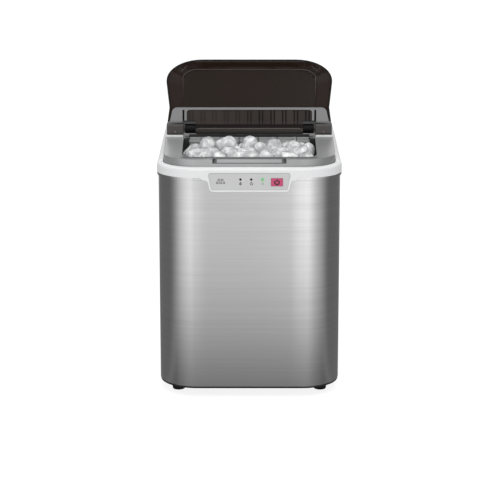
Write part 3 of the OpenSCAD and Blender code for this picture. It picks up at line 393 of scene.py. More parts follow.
def smoked_lid():
    """Smoked brown acrylic: a dark tint that lets a little of the background through, with painted
    light on the side walls beside the pane and painted shade on the wall above it.
    """
    mat, n = new_material("smoked_plastic")
    x, y, z = n.xyz()
    dy = n.minus(y, HINGE.y)
    dz = n.minus(z, HINGE.z)
    up = n.plus(n.times(dy, math.sin(LID_LEAN)), n.times(dz, math.cos(LID_LEAN)))
    through = n.minus(n.times(dy, math.cos(LID_LEAN)), n.times(dz, math.sin(LID_LEAN)))
    top_wall_shade = n.smooth(up, *PANE_TOP)
    side_wall_light = n.smooth(n.size(x), *PANE_SIDE)
    rim = n.until(through, *RIM_FACE)
    cloud = n.smooth(n.noise(9.0, 2.0, (1.0, 0.6, 1.0)), 0.38, 0.62)
    tint = n.mix(cloud, (0.0138, 0.0122, 0.0100), (0.0150, 0.0118, 0.0103))
    # painted light on the side walls beside the pane, painted shade on the wall above it
    tint = n.mix(side_wall_light, tint, (0.021, 0.0155, 0.0135))
    tint = n.mix(n.times(top_wall_shade, n.minus(1.0, side_wall_light)), tint, (0.0115, 0.0070, 0.0056))
    tint = n.mix(n.times(rim, 0.85), tint, (0.0015, 0.0012, 0.0012))
    body = principled(n, tint, 0.07, n.edge(0.0010), IOR=1.49, Specular_IOR_Level=0.32)
    clear = n.shader("ShaderNodeBsdfTransparent", (0.34, 0.25, 0.21))
    return finish_material(mat, n, n.mix_shaders(n.times(n.minus(1.0, rim), 0.3), body, clear))


def barrel_material():
    """Brown-black barrel: a roll, a dark band over it, and a window with painted shade beside each
    rib; its necks are painted black as shade.
    """
    mat, n = new_material("barrel_brown")
    x, y, z = n.xyz()
    up = n.minus(z, HINGE.z)
    cell = n.math("FRACT", n.plus(n.math("DIVIDE", x, RIB_PITCH), 0.5))
    from_rib = n.times(n.size(n.minus(cell, 0.5)), RIB_PITCH)
    # painted shade along both sides of each rib of the window, stronger towards the right
    rib_shade = n.until(n.size(n.minus(from_rib, RIB_SHADE_OFF)), *RIB_SHADE_EDGE)
    rib_shade = n.times(rib_shade, n.smooth(x, *RIB_SHADES_TO_RIGHT, 0.25, 0.9))
    glow = n.smooth(n.noise(14.0, 2.0, (1.0, 1.0, 0.5)), 0.4, 0.6)
    window = n.mix(glow, (0.038, 0.031, 0.028), (0.050, 0.041, 0.037))
    window = n.mix(rib_shade, window, (0.004, 0.003, 0.003))
    window = n.mix(n.times(n.until(up, *WINDOW_SHADE), 0.75), window, (0.003, 0.002, 0.002))
    roll = n.mix(n.smooth(up, *ROLL_TOP), (0.066, 0.059, 0.054), (0.010, 0.007, 0.006))
    color = n.mix(n.smooth(up, *WINDOW_FOOT), roll, window)
    # the necks are painted near black as the shade of the gaps beside the knuckles
    neck = n.times(n.smooth(n.size(x), *NECK_START), n.until(up, *WINDOW_FOOT))
    color = n.mix(neck, color, (0.004, 0.0035, 0.0035))
    shader = principled(n, color, 0.45, moulded(n, 2400.0, 0.0006), Specular_IOR_Level=0.12)
    return finish_material(mat, n, shader)


def comb_material():
    """Grey comb with painted shade in the slots between its teeth and the barrel's shadow along
    its top.
    """
    mat, n = new_material("comb_grey")
    x, y, z = n.xyz()
    cell = n.math("FRACT", n.plus(n.math("DIVIDE", x, SLOT_PITCH), SLOT_SHIFT))
    # painted shade in the slots between the teeth
    slot = n.until(n.size(n.minus(cell, 0.5)), *SLOT_EDGE)
    slot = n.times(slot, n.smooth(n.noise(12.0, 1.0, (1.0, 0.1, 0.1)), 0.35, 0.6, 0.25, 0.9))
    face = n.mix(n.smooth(z, *COMB_STEP), (0.37, 0.372, 0.376), (0.50, 0.502, 0.506))
    face = n.mix(slot, face, (0.02, 0.02, 0.02))
    face = n.mix(n.smooth(z, *COMB_SHADE), face, (0.012, 0.011, 0.011))
    shader = principled(n, face, 0.42, moulded(n, 2000.0, 0.0006, depth=0.00004))
    return finish_material(mat, n, shader)


def deck_material():
    """Satin grey deck: mouth walls painted black as shade, darker lip before the mouth, painted
    shade behind the mouth, towards the right and in the finger scoop.
    """
    mat, n = new_material("deck_grey")
    x, y, z = n.xyz()
    beside = n.size(x)
    shade = (0.14, 0.141, 0.143)
    plane = n.plus(n.times(n.minus(y, DECK_LO.y), DECK_SLOPE), DECK_EDGE_Z)
    in_width = n.until(beside, *MOUTH_WALL_SIDE)
    in_length = n.times(n.smooth(y, *MOUTH_WALL_FRONT), n.until(y, *MOUTH_WALL_REAR))
    # the mouth's walls below the deck's plane are painted black as shade
    mouth_shade = n.times(n.smooth(n.minus(plane, z), *MOUTH_SHADE_DEPTH), n.times(in_width, in_length))
    lip = n.times(n.smooth(y, *LIP_START), n.times(n.until(y, *LIP_END), in_width))
    # painted shade behind the mouth, under the barrel
    rear = n.times(n.smooth(y, *REAR_START), in_width)
    # painted shade on the finger scoop's ends and along its foot
    scoop = n.times(n.until(beside, *SCOOP_SIDE), n.smooth(z, *SCOOP_FLOOR))
    scoop_ends = n.times(n.smooth(beside, *SCOOP_END_X), n.until(y, *SCOOP_END_Y))
    scoop_edges = n.math("MAXIMUM", scoop_ends, n.until(y, *SCOOP_FOOT_Y))
    base = tone(n, (0.40, 0.403, 0.407))
    base = n.mix(n.times(lip, 0.8), base, shade)
    # painted shade towards the right
    base = n.mix(n.smooth(x, *TO_RIGHT, 0.0, 0.24), base, shade)
    base = n.mix(rear, base, (0.12, 0.121, 0.123))
    base = n.mix(n.times(scoop, scoop_edges), base, (0.10, 0.101, 0.103))
    base = n.mix(n.smooth(beside, *RAIL_START, 0.0, 0.12), base, shade)
    color = n.mix(mouth_shade, base, (0.018, 0.018, 0.018))
    shader = principled(n, color, 0.36, moulded(n, 2600.0, 0.0009),
                        Metallic=n.times(n.minus(1.0, mouth_shade), 0.3), Coat_Weight=0.1,
                        Coat_Roughness=0.1)
    return finish_material(mat, n, shader)


def panel_face():
    """Control panel: satin grey with a soft green glow round the lit lamp."""
    mat, n = new_material("panel_grey")
    x, y, z = n.xyz()
    away = n.distance(n.minus(x, LAMP_XS[2]), n.minus(z, LAMP_Z))
    base = tone(n, (0.60, 0.60, 0.605))
    color = n.mix(n.smooth(away, 0.001, 0.0048, 0.75, 0.0), base, (0.42, 0.66, 0.42))
    shader = principled(n, color, 0.42, moulded(n, 2400.0, 0.0005, strength=0.25))
    return finish_material(mat, n, shader)


def lens_material():
    """Two dark lamps and a lit green one, told apart by where they sit."""
    mat, n = new_material("lens_green")
    lit = n.math("GREATER_THAN", n.xyz()[0], LENS_HI.x - 0.008)
    color = n.mix(lit, (0.012, 0.012, 0.014), (0.20, 0.62, 0.26))
    lens = principled(n, color, 0.4, n.edge(0.0004), Specular_IOR_Level=0.2)
    glow = n.shader("ShaderNodeEmission", (0.25, 0.9, 0.35), Strength=0.6)
    return finish_material(mat, n, n.mix_shaders(n.times(lit, 0.5), lens, glow))


def ice_material():
    """Bullet ice: clear skin at the rims over a cloudy white core."""
    mat, n = new_material("ice")
    cloud = n.smooth(n.noise(120.0, 4.0), 0.35, 0.65)
    ripple = n.bump(n.noise(190.0, 4.0), 0.75, 0.0016)
    facing = n.add("ShaderNodeLayerWeight")
    facing.inputs["Blend"].default_value = 0.35
    clear = principled(n, (0.96, 0.975, 0.985), 0.08, ripple, IOR=1.31, Transmission_Weight=1.0)
    white = principled(n, n.mix(cloud, (0.76, 0.77, 0.78), (0.97, 0.975, 0.98)), 0.22, ripple,
                       Coat_Weight=0.7, Coat_Roughness=0.06)
    lump = n.smooth(n.noise(38.0, 1.0), 0.38, 0.62, 0.78, 1.0)
    core = n.times(n.smooth(cloud, 0.0, 1.0, 0.68, 1.0), lump)
    core = n.times(core, n.smooth(facing.outputs["Facing"], 0.35, 0.95, 1.0, 0.72))
    return finish_material(mat, n, n.mix_shaders(core, clear, white))


def foam_material():
    """Cut insulation foam with open cells."""
    mat, n = new_material("foam")
    cells = n.add("ShaderNodeTexVoronoi")
    n.link(n.coords(), cells.inputs["Vector"])
    cells.inputs["Scale"].default_value = 420.0
    normal = n.bump(cells.outputs["Distance"], 0.6, 0.0006)
    shader = principled(n, tone(n, (0.82, 0.74, 0.52), 0.08, 25.0), 0.9, normal)
    return finish_material(mat, n, shader)


def board_material():
    """Board with lacquer and faint copper tracks under it."""
    mat, n = new_material("circuit_board")
    tracks = n.add("ShaderNodeTexBrick")
    n.link(n.coords(), tracks.inputs["Vector"])
    for key, value in (("Scale", 220.0), ("Mortar Size", 0.03), ("Color1", (0.012, 0.11, 0.035)),
                       ("Color2", (0.014, 0.13, 0.04)), ("Mortar", (0.03, 0.22, 0.07))):
        n.feed(tracks.inputs[key], value)
    shader = principled(n, tracks.outputs["Color"], 0.3, n.edge(0.0002), Coat_Weight=0.3)
    return finish_material(mat, n, shader)


# plastics of the record's slots, then those of single pieces of this scene
PLASTICS = {
    "white_plastic": dict(color=(0.83, 0.835, 0.84), rough=0.42, grain=2200.0, depth=0.00002,
                          round_off=0.0009, mottle=0.012),
    "cover_dark": dict(color=(0.03, 0.029, 0.029), rough=0.6, grain=2400.0, depth=0.00002,
                       round_off=0.0009, gloss=0.1),
    "hinge_grey": dict(color=(0.235, 0.235, 0.24), rough=0.42, grain=2400.0, depth=0.00003,
                       coat=0.05, mottle=0.02),
    "hinge_dark": dict(color=(0.050, 0.045, 0.043), rough=0.42, grain=2400.0, depth=0.00003,
                       round_off=0.0005, mottle=0.04),
    "black_plastic": dict(color=(0.018, 0.018, 0.019), rough=0.5, grain=1500.0, depth=0.00006,
                          round_off=0.0005),
    "button_pink": dict(color=(0.58, 0.058, 0.17), rough=0.34, grain=2600.0, depth=0.00001,
                        coat=0.3),
    "rubber_black": dict(color=(0.014, 0.014, 0.014), rough=0.75, grain=900.0, depth=0.00012),
    "tank_white": dict(color=(0.76, 0.775, 0.78), grain=1600.0, round_off=0.0008),
    "shell_black": dict(color=(0.017, 0.017, 0.019), rough=0.28, grain=700.0, depth=0.00008,
                        round_off=0.0008, coat=0.4),
    "float_blue": dict(color=(0.03, 0.16, 0.45), rough=0.7, grain=900.0, depth=0.00012),
    "shovel_grey": dict(color=(0.26, 0.262, 0.266), rough=0.42, grain=2000.0),
    "seal_red": dict(color=(0.2, 0.03, 0.03), rough=0.7, grain=900.0, depth=0.00008,
                     round_off=0.0005),
    "motor_grey": dict(color=(0.1, 0.105, 0.11), rough=0.35, grain=900.0, depth=0.00006, coat=0.1),
    # pale beads on the lid's edges: painted highlights
    "pane_highlight_bead": dict(color=(0.085, 0.070, 0.066), rough=0.3, grain=2600.0, depth=0.00002,
                      round_off=0.0003),
    # pale bead along the barrel's top: a painted highlight
    "barrel_highlight_seam": dict(color=(0.115, 0.105, 0.10), rough=0.35, grain=2600.0, depth=0.00002,
                        round_off=0.0003),
    "hinge_dots": dict(color=(0.22, 0.15, 0.16), rough=0.35, grain=2600.0, depth=0.00002,
                       round_off=0.0002),
    # pale tips of the comb's teeth: a painted highlight
    "comb_tooth_highlights": dict(color=(0.62, 0.62, 0.625), rough=0.35, grain=2200.0, depth=0.00002,
                       round_off=0.0003),
}

MATERIALS = {name: plastic(name, **finish) for name, finish in PLASTICS.items()}
MATERIALS.update({
    "brushed_steel": brushed_steel(),
    "panel_grey": panel_face(),
    "deck_grey": deck_material(),
    "smoked_plastic": smoked_lid(),
    "lens_green": lens_material(),
    "circuit_board": board_material(),
    "basket_clear": frosted("basket_clear", (0.72, 0.75, 0.77)),
    "hose_clear": frosted("hose_clear", (0.72, 0.72, 0.68), 0.25),
    "foam": foam_material(),
    "nickel": metal("nickel", (0.70, 0.70, 0.71), 0.16),
    "copper": metal("copper", (0.72, 0.36, 0.22), 0.26),
    "aluminium": metal("aluminium", (0.66, 0.67, 0.68), 0.34, (1, 1, 30), 60.0),
    "steel_pin": metal("steel_pin", (0.6, 0.6, 0.61), 0.24),
})

# nodes whose look differs from the rest of their slot
OWN_MATERIALS = {
    "top_collar": collar_material(),
    "lid_barrel": barrel_material(),
    "ice_shovel": comb_material(),
    "hinge_pins": metal("pin_dark", (0.10, 0.095, 0.09), 0.5),
}

for part in frame["record"]["subparts"]:
    mesh = NODES[part["node"]].data
    mesh.materials.clear()
    mesh.materials.append(OWN_MATERIALS.get(part["node"], MATERIALS[part["material_slot"]]))


# ---------------------------------------------------------------- mesh helpers

def add_piece(name, bm, material, body, smooth=True):
    """Turns a mesh into a piece of the scene that moves with one of the CAD's bodies."""
    mesh = bpy.data.meshes.new(name)
    bm.normal_update()
    bm.to_mesh(mesh)
    bm.free()
    mesh.materials.append(material)
    for poly in mesh.polygons:
        poly.use_smooth = smooth
    obj = bpy.data.objects.new(name, mesh)
    scene.collection.objects.link(obj)
    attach(obj, body)


def join_rings(bm, first, second):
    """Quads between two rings with the same number of points."""
    for k in range(len(first)):
        j = (k + 1) % len(first)
        bm.faces.new((first[k], first[j], second[j], second[k]))


def strip(bm, points, width, y_front, y_back, closed=False):
    """Printed line along points in the XZ plane, as a thin raised band."""
    count = len(points)
    rows = []
    for i, p in enumerate(points):
        before = points[i - 1] if (i > 0 or closed) else p
        after = points[(i + 1) % count] if (i < count - 1 or closed) else p
        along = Vector((after[0] - before[0], after[1] - before[1])).normalized()
        side = Vector((-along.y, along.x)) * width / 2
        rows.append([bm.verts.new((p[0] + s * side.x, y, p[1] + s * side.y))
                     for s, y in ((1, y_front), (-1, y_front), (-1, y_back), (1, y_back))])
    for i in range(count if closed else count - 1):
        join_rings(bm, rows[i], rows[(i + 1) % count])
    if not closed:
        bm.faces.new(rows[0])
        bm.faces.new(list(reversed(rows[-1])))


def tube(bm, points, radius, sides=8):
    """Round bead along a path, closed at both ends."""
    rows = []
    for i, p in enumerate(points):
        along = (points[min(i + 1, len(points) - 1)] - points[max(i - 1, 0)]).normalized()
        ref = Vector((0, 1, 0)) if abs(along.y) < 0.9 else Vector((1, 0, 0))
        u = along.cross(ref).normalized()
        w = along.cross(u).normalized()
        angles = [math.tau * k / sides for k in range(sides)]
        rows.append([bm.verts.new(p + radius * (math.cos(a) * u + math.sin(a) * w))
                     for a in angles])
    for a, b in zip(rows, rows[1:]):
        for k in range(sides):
            bm.faces.new((a[k], b[k], b[(k + 1) % sides], a[(k + 1) % sides]))
    bm.faces.new(rows[0])
    bm.faces.new(list(reversed(rows[-1])))


def on_lid(x, reach, through):
    """Point of the open lid: across it, up from the hinge, and through it."""
    return LID_PLACE @ Vector((x, -reach, through))


def lid_inside(x, reach):
    """Point on the lid's inner face, found by a ray from inside the open lid."""
    shell = NODES["lid_shell"]
    into = shell.matrix_world.inverted()
    start, end = into @ on_lid(x, reach, -0.05), into @ on_lid(x, reach, 0.05)
    return shell.matrix_world @ shell.ray_cast(start, (end - start).normalized())[1]


# ---------------------------------------------------------------- power symbol, panel marks

INK_PROUD_BUTTON = 0.00008
INK_PROUD_PANEL = 0.00004
INK_DEEP = 0.0002
MARK_Z = LAMP_Z - 0.0056


def power_symbol():
    """Ring open at its top, with a bar in the gap, printed on the button."""
    radius = 0.0029
    width = 0.0017
    faces = (BUTTON_LO.y - INK_PROUD_BUTTON, BUTTON_LO.y + INK_DEEP)
    mid = (BUTTON_LO + BUTTON_HI) / 2
    angles = [math.radians(a) for a in range(38, 323, 12)]
    bm = bmesh.new()
    strip(bm, [(mid.x + radius * math.sin(a), mid.z + radius * math.cos(a)) for a in angles],
          width, *faces)
    strip(bm, [(mid.x, mid.z + radius * 0.25), (mid.x, mid.z + radius * 1.3)], width, *faces)
    add_piece("power_symbol", bm, ink("button_ink", (0.010, 0.001, 0.003), 0.45), "button",
              smooth=False)


def mark(bm, x, z, outline, width, closed=True):
    """One sign on the panel: an outline round the point x, z."""
    strip(bm, [(x + dx, z + dz) for dx, dz in outline], width, PANEL_LO.y - INK_PROUD_PANEL,
          PANEL_LO.y + INK_DEEP, closed)


def square(size):
    h = size / 2
    return [(-h, -h), (h, -h), (h, h), (-h, h)]


def panel_marks():
    """Generic signs: a drop and a basket under their lamps, and a heap of cubes beside them."""
    bm = bmesh.new()
    angles = [i * math.pi / 8 for i in range(16)]
    drop = [(0.0011 * math.sin(t) * (1 if math.cos(t) < 0 else 1 - 0.75 * math.cos(t)),
             0.0014 * math.cos(t) + (0.0006 if math.cos(t) > 0.9 else 0)) for t in angles]
    mark(bm, LAMP_XS[0], MARK_Z, drop, 0.0010)
    basket = [(-0.0018, 0.001), (-0.0012, -0.0014), (0.0012, -0.0014), (0.0018, 0.001)]
    mark(bm, LAMP_XS[1], MARK_Z, basket, 0.0008, closed=False)
    mark(bm, LAMP_XS[1] - 0.0001, MARK_Z + 0.0015, square(0.0012), 0.0007)
    cubes = [(-0.0042, 0.0), (0.0, 0.0), (0.0042, 0.0), (-0.0021, 0.0037), (0.0021, 0.0037)]
    for dx, dz in cubes:
        mark(bm, PANEL_LO.x + 0.0155 + dx, LAMP_Z - 0.0042 + dz, square(0.0022), 0.0009)
    add_piece("panel_marks", bm, ink("panel_ink", (0.014, 0.014, 0.015)), "casing",
              smooth=False)
    bm = bmesh.new()
    mark(bm, LAMP_XS[2], MARK_Z, square(0.0022), 0.0007)
    add_piece("panel_mark_green", bm, ink("panel_ink_green", (0.22, 0.42, 0.24)), "casing",
              smooth=False)


# ---------------------------------------------------------------- lid beads, hinge, comb teeth; the beads, the barrel's seam and the teeth's tips are pale as painted highlights

BEAD_R = 0.0006
RIM_BEAD_R = 0.0005
BEAD_SIDE = PANE_HALF - 0.0004
BEAD_FOOT = 0.0300
PANE_CORNER_X = 0.0205
PANE_CORNER_Y = 0.0120


def pane_corner(side):
    """Quarter of an ellipse from the pane's side to its top edge."""
    steps = [math.radians(9 * k) for k in range(11)]
    mid_x, mid_reach = BEAD_SIDE - PANE_CORNER_X, PANE_REACH - PANE_CORNER_Y
    return [(side * (mid_x + PANE_CORNER_X * math.cos(t)), mid_reach + PANE_CORNER_Y * math.sin(t))
            for t in steps]


def pane_highlight_bead():
    """Beads on the lid's inner face: round the pane, along the rim and at the two corners, pale as
    painted highlights on the lid's edges.
    """
    left = [(-BEAD_SIDE, BEAD_FOOT)] + pane_corner(-1)
    right = [(-x, reach) for x, reach in reversed(left)]
    top = [(k * 0.012, PANE_REACH) for k in range(-5, 6)]
    bm = bmesh.new()
    tube(bm, [lid_inside(x, reach) for x, reach in left + top + right], BEAD_R)
    tube(bm, [lid_inside(k * 0.0072, RIM_REACH) for k in range(-10, 11)], RIM_BEAD_R)
    for side in (-1, 1):
        tube(bm, [lid_inside(side * (0.0915 - 0.0016 * k), 0.0765 + 0.0016 * k)
                  for k in range(6)], BEAD_R)
    add_piece("pane_highlight_bead", bm, MATERIALS["pane_highlight_bead"], "lid")


def barrel_highlight_seam():
    """Lighter seam along the barrel's front, turned down at its ends: a pale bead as a painted
    highlight along the barrel's top.
    """
    radius = 0.0005
    y, z = HINGE.y - 0.0074, HINGE.z + 0.0015
    end = [(0.0712, 0.0, -0.0032), (0.0680, -0.0001, -0.0006), (0.0660, -0.0002, 0.0)]
    path = [(-x, dy, dz) for x, dy, dz in end] + end[::-1]
    bm = bmesh.new()
    tube(bm, [Vector((x, y + dy, z + dz)) for x, dy, dz in path], radius)
    add_piece("barrel_highlight_seam", bm, MATERIALS["barrel_highlight_seam"], "lid")


def ear_skirts():
    """Rolled lower edge of each ear of the lid's frame, close over the knuckle."""
    profile = [(0.0078, -0.0056), (0.0078, -0.0062), (0.0090, -0.0062), (0.0092, -0.0078),
               (0.0102, -0.0078), (0.0102, -0.0056)]
    bm = bmesh.new()
    for side in (-1, 1):
        ends = [[bm.verts.new(on_lid(side * x, reach, through)) for reach, through in profile]
                for x in (BLOCK_LO.x + 0.0012, BLOCK_HI.x - 0.0012)]
        join_rings(bm, *ends)
        for end in ends:
            bm.faces.new(end)
    bmesh.ops.recalc_face_normals(bm, faces=bm.faces)
    add_piece("ear_skirts", bm, MATERIALS["hinge_grey"], "lid", smooth=False)


def hinge_dots():
    """Small round dot on the front of each knuckle."""
    radius, sides = 0.0011, 20
    dot_x, dot_z = 0.0997, HINGE.z - 0.0028
    angles = [math.tau * k / sides for k in range(sides)]
    bm = bmesh.new()
    for side in (-1, 1):
        rim = [bm.verts.new((side * dot_x + radius * math.cos(a), BLOCK_LO.y - 0.00025,
                             dot_z + radius * math.sin(a))) for a in angles]
        root = [bm.verts.new((v.co.x, BLOCK_LO.y + 0.0004, v.co.z)) for v in rim]
        for k in range(sides):
            j = (k + 1) % sides
            bm.faces.new((rim[k], root[k], root[j], rim[j]))
        bm.faces.new(list(reversed(rim)))
        bm.faces.new(root)
    add_piece("hinge_dots", bm, MATERIALS["hinge_dots"], "casing")


def comb_tooth_highlights():
    """Tips of the comb's teeth under the barrel, pale as a painted highlight."""
    pitch, shift = 0.030, 0.0015
    half, deep = 0.0016, 0.0026
    front = SHOVEL_LO.y - 0.0004
    bm = bmesh.new()
    for i in range(5):
        x = (i - 2) * pitch + shift
        base = [bm.verts.new((x + dx, front + dy, SHOVEL_HI.z - 0.0085))
                for dx, dy in ((-half, 0.0), (half, 0.0), (half, deep), (-half, deep))]
        tip = bm.verts.new((x, front + 0.0016, SHOVEL_HI.z + 0.0022))
        for k in range(4):
            bm.faces.new((base[k], base[(k + 1) % 4], tip))
        bm.faces.new(list(reversed(base)))
    add_piece("comb_tooth_highlights", bm, MATERIALS["comb_tooth_highlights"], "shovel", smooth=False)


# ---------------------------------------------------------------- ice

ICE_COUNT = 150
ICE_R = 0.0107
ICE_LEN = 0.0262
ICE_BORE = 0.0056
# a bullet is out of round by two and three lobes, which twist along it, and its rings wave
LOBES_2, TWIST_2 = 0.035, 160
LOBES_3, TWIST_3 = 0.02, 240
WAVE = 0.0005
BASKET_WALL = 0.0019
DROP_TOP = 0.326
# neighbours sink into each other a little, as melting bullets do
PACKING = 0.93
SETTLE_STEPS = 420
LIFT = 0.00010
MOST_TURN = 0.3
TINY = 1e-9
# the heap stands over the deck's plane, and a little less along its front
HEAP = 0.0030
HEAP_FRONT = 0.0005
HEAP_FRONT_Y = -0.108
HEAP_FRONT_RUN = 0.024
# behind this line the closed lid's frame comes down almost to the deck
HEAP_REAR = -0.0972
HEAP_UNDER_FRAME = -0.0014
# bullets that stand out of the heap along its back: x, y, height over the deck, lean along x
CROWN = [(-0.0745, -0.0975, 0.0022, 0.9), (-0.056, -0.0965, 0.0118, 0.3),
         (-0.029, -0.0965, 0.0128, 2.5), (0.001, -0.0965, 0.0132, 0.2),
         (0.015, -0.1040, 0.0078, -0.6), (0.034, -0.0965, 0.0090, -0.7),
         (0.057, -0.0968, 0.0066, 0.5), (0.0772, -0.0970, 0.0045, 0.1)]


def heap_top(points):
    """Height of the heap's top over each point."""
    front = np.clip((HEAP_FRONT_Y - points[:, 1]) / HEAP_FRONT_RUN, 0, 1) * HEAP_FRONT
    rear = points[:, 1] > HEAP_REAR
    return deck_z(points[:, 1]) + np.where(rear, HEAP_UNDER_FRAME, HEAP - front)


def settle_ice(count, seed):
    """Fills the basket with capsules and lets them push apart until they rest."""
    rng = np.random.default_rng(seed)
    lo = np.array([c + BASKET_WALL + ICE_R for c in BASKET_LO])
    hi = np.array([c - BASKET_WALL - ICE_R for c in BASKET_HI])
    hi[2] = DROP_TOP - ICE_R
    half = ICE_LEN / 2 - ICE_R
    centre = rng.uniform(lo, hi, (count, 3))
    axis = rng.normal(size=(count, 3)) * (1.0, 1.0, 1.6)
    axis /= np.linalg.norm(axis, axis=1)[:, None]
    crown = np.array(CROWN)
    held = len(crown)
    stand = np.column_stack((crown[:, 3], axis[:held, 1] * 0.2, np.ones(held)))
    stand /= np.linalg.norm(stand, axis=1)[:, None]
    start = crown[:, :3].copy()
    start[:, 2] += deck_z(crown[:, 1]) - ICE_R - half * stand[:, 2]
    centre[:held], axis[:held] = start, stand
    # each capsule is three balls: one at each end and one in the middle
    arms = np.array([-half, 0.0, half])
    owner = np.repeat(np.arange(count), 3)
    same = owner[:, None] == owner[None, :]
    for step in range(SETTLE_STEPS):
        centre[:, 2] += LIFT * (1 - step / SETTLE_STEPS)
        balls = (centre[:, None, :] + arms[None, :, None] * axis[:, None, :]).reshape(-1, 3)
        gap = balls[:, None, :] - balls[None, :, :]
        dist = np.sqrt((gap ** 2).sum(2)) + same * 1.0 + TINY
        push = np.clip(2 * ICE_R * PACKING - dist, 0, None)
        move = (gap / dist[:, :, None] * push[:, :, None] * 0.5).sum(1) * 0.5
        inside = np.clip(balls, lo, np.array([hi[0], hi[1], 1.0]))
        inside[:, 2] = np.minimum(inside[:, 2], heap_top(inside) - ICE_R)
        move += inside - balls
        move = move.reshape(count, 3, 3)
        centre += move.mean(1)
        turn = np.cross(arms[None, :, None] * axis[:, None, :], move).sum(1)
        turn /= 2 * half ** 2 + TINY
        size = np.linalg.norm(turn, axis=1)
        turn *= np.minimum(1.0, MOST_TURN / np.maximum(size, TINY))[:, None]
        axis += np.cross(turn, axis)
        centre[:held], axis[:held] = start, stand
        axis /= np.linalg.norm(axis, axis=1)[:, None]
    return centre, axis


def bullet_profile(r, length, bore):
    """Radius and height along one bullet: up out of the bore, round the mouth, over the dome."""
    base = -length / 2
    top = length / 2 - r
    mouth = [(0.0, 0.013), (bore * 0.7, 0.0115), (bore * 0.93, 0.007), (bore, 0.002),
             (bore * 1.12, 0.0005), ((bore + r * 0.95) / 2, 0.0), (r * 0.9, 0.0006),
             (r * 0.965, 0.0025), (r, 0.008)]
    dome = [math.radians(k * 90 / 7) for k in range(1, 7)]
    return ([(radius, base + z) for radius, z in mouth]
            + [(r * math.cos(a), top + r * math.sin(a)) for a in dome] + [(0.0, top + r)])


def bullet(bm, centre, axis, spin, rng):
    """One bullet of ice: domed at one end, with the finger's bore at the other."""
    r = ICE_R * rng.uniform(0.93, 1.0)
    length = ICE_LEN * rng.uniform(0.9, 1.0)
    bore = ICE_BORE * rng.uniform(0.8, 1.0)
    steps = 18
    turn = Vector((0, 0, 1)).rotation_difference(Vector(axis)).to_matrix().to_4x4()
    place = Matrix.Translation(Vector(centre)) @ turn @ Matrix.Rotation(spin, 4, "Z")
    phase = [rng.uniform(0, math.tau) for _ in range(3)]
    rows = []
    for radius, z in bullet_profile(r, length, bore):
        if radius == 0.0:
            rows.append([bm.verts.new(place @ Vector((0, 0, z)))])
            continue
        row = []
        for a in [math.tau * i / steps for i in range(steps)]:
            wobble = (1 + LOBES_2 * math.sin(2 * a + phase[0] + z * TWIST_2)
                      + LOBES_3 * math.sin(3 * a + phase[1] - z * TWIST_3))
            point = Vector((radius * wobble * math.cos(a), radius * wobble * math.sin(a),
                            z + WAVE * math.sin(2 * a + phase[2])))
            row.append(bm.verts.new(place @ point))
        rows.append(row)
    for a, b in zip(rows, rows[1:]):
        for i in range(steps):
            j = (i + 1) % steps
            if len(a) == 1:
                bm.faces.new((a[0], b[i], b[j]))
            elif len(b) == 1:
                bm.faces.new((a[i], b[0], a[j]))
            else:
                bm.faces.new((a[i], b[i], b[j], a[j]))


def bullet_ice():
    """The ice in the basket: contents of the machine, fixed in place."""
    rng = random.Random(11)
    bm = bmesh.new()
    for centre, axis in zip(*settle_ice(ICE_COUNT, 5)):
        bullet(bm, centre, axis, rng.uniform(0, math.tau), rng)
    bmesh.ops.recalc_face_normals(bm, faces=bm.faces)
    add_piece("bullet_ice", bm, ice_material(), "casing")


# ---------------------------------------------------------------- stage, light, camera

WHITE = (1, 1, 1)

# the studio that metal sees: zones of turn from the front in radians, and levels of light
FRONT_TO_SIDE = (0.75, 1.5)
SIDE_TO_BACK = (2.3, 2.9)
ROOM_FRONT, ROOM_SIDE, ROOM_BACK = 0.80, 0.18, 0.4
LEFT_PANEL, LEFT_START, LEFT_FADE = 0.80, (-0.22, -0.02), (0.2, 1.15)
RIGHT_PANEL, RIGHT_START, RIGHT_FADE = 1.02, (0.0, 0.1), (0.2, 0.9)
# on the floor, by the distance from the body: the room's level at the foot, then both fade in
FOOT_TURN, FOOT_LEVEL = (0.95, 1.45), 0.17
ROOM_FADE_IN = (0.05, 0.62)
PANEL_FROM, PANEL_RUN = 0.22, 0.78
# the sky by height: darker over the horizon, lighter overhead
HORIZON, OVERHEAD = (-0.02, 0.22), (0.35, 0.9)
# even light for matt surfaces, dimmer from the right and the left
MATT_LEVEL = 0.88
RIGHT_DIM, RIGHT_SIDE = 0.46, (0.35, 0.95)
LEFT_DIM, LEFT_SIDE = 0.38, (-0.95, -0.35)


def studio_level(n, turn, away=None):
    """What metal sees of the studio at a turn from the front, in radians.

    The room is bright in front, dark at the sides and lit a little behind, with a soft panel on
    each side of the front. On the floor both are darker near the body: away is the distance.
    """
    off = n.size(turn)
    room = n.plus(n.smooth(off, *FRONT_TO_SIDE, ROOM_FRONT, ROOM_SIDE),
                  n.smooth(off, *SIDE_TO_BACK, 0.0, ROOM_BACK))
    left = n.times(n.smooth(turn, *LEFT_START, LEFT_PANEL, 0.0), n.until(off, *LEFT_FADE))
    right = n.times(n.smooth(turn, *RIGHT_START, 0.0, RIGHT_PANEL), n.until(off, *RIGHT_FADE))
    panels = n.plus(left, right)
    if away is not None:
        foot = n.smooth(off, *FOOT_TURN, FOOT_LEVEL, 1.0)
        room = n.times(room, n.smooth(away, *ROOM_FADE_IN, foot, 1.0))
        fade = n.math("DIVIDE", n.minus(away, PANEL_FROM), PANEL_RUN, clamp=True)
        panels = n.times(panels, fade)
    return n.plus(room, panels)


def camera_sees(n, path):
    """1 for what the camera sees, straight or through clear plastic."""
    return n.math("MAXIMUM", path.outputs["Is Camera Ray"], path.outputs["Is Transmission Ray"])


def beyond(n, value, lo, hi):
    """How far a value lies past the nearer end of a range."""
    return n.minus(value, n.math("MINIMUM", n.math("MAXIMUM", value, lo), hi))


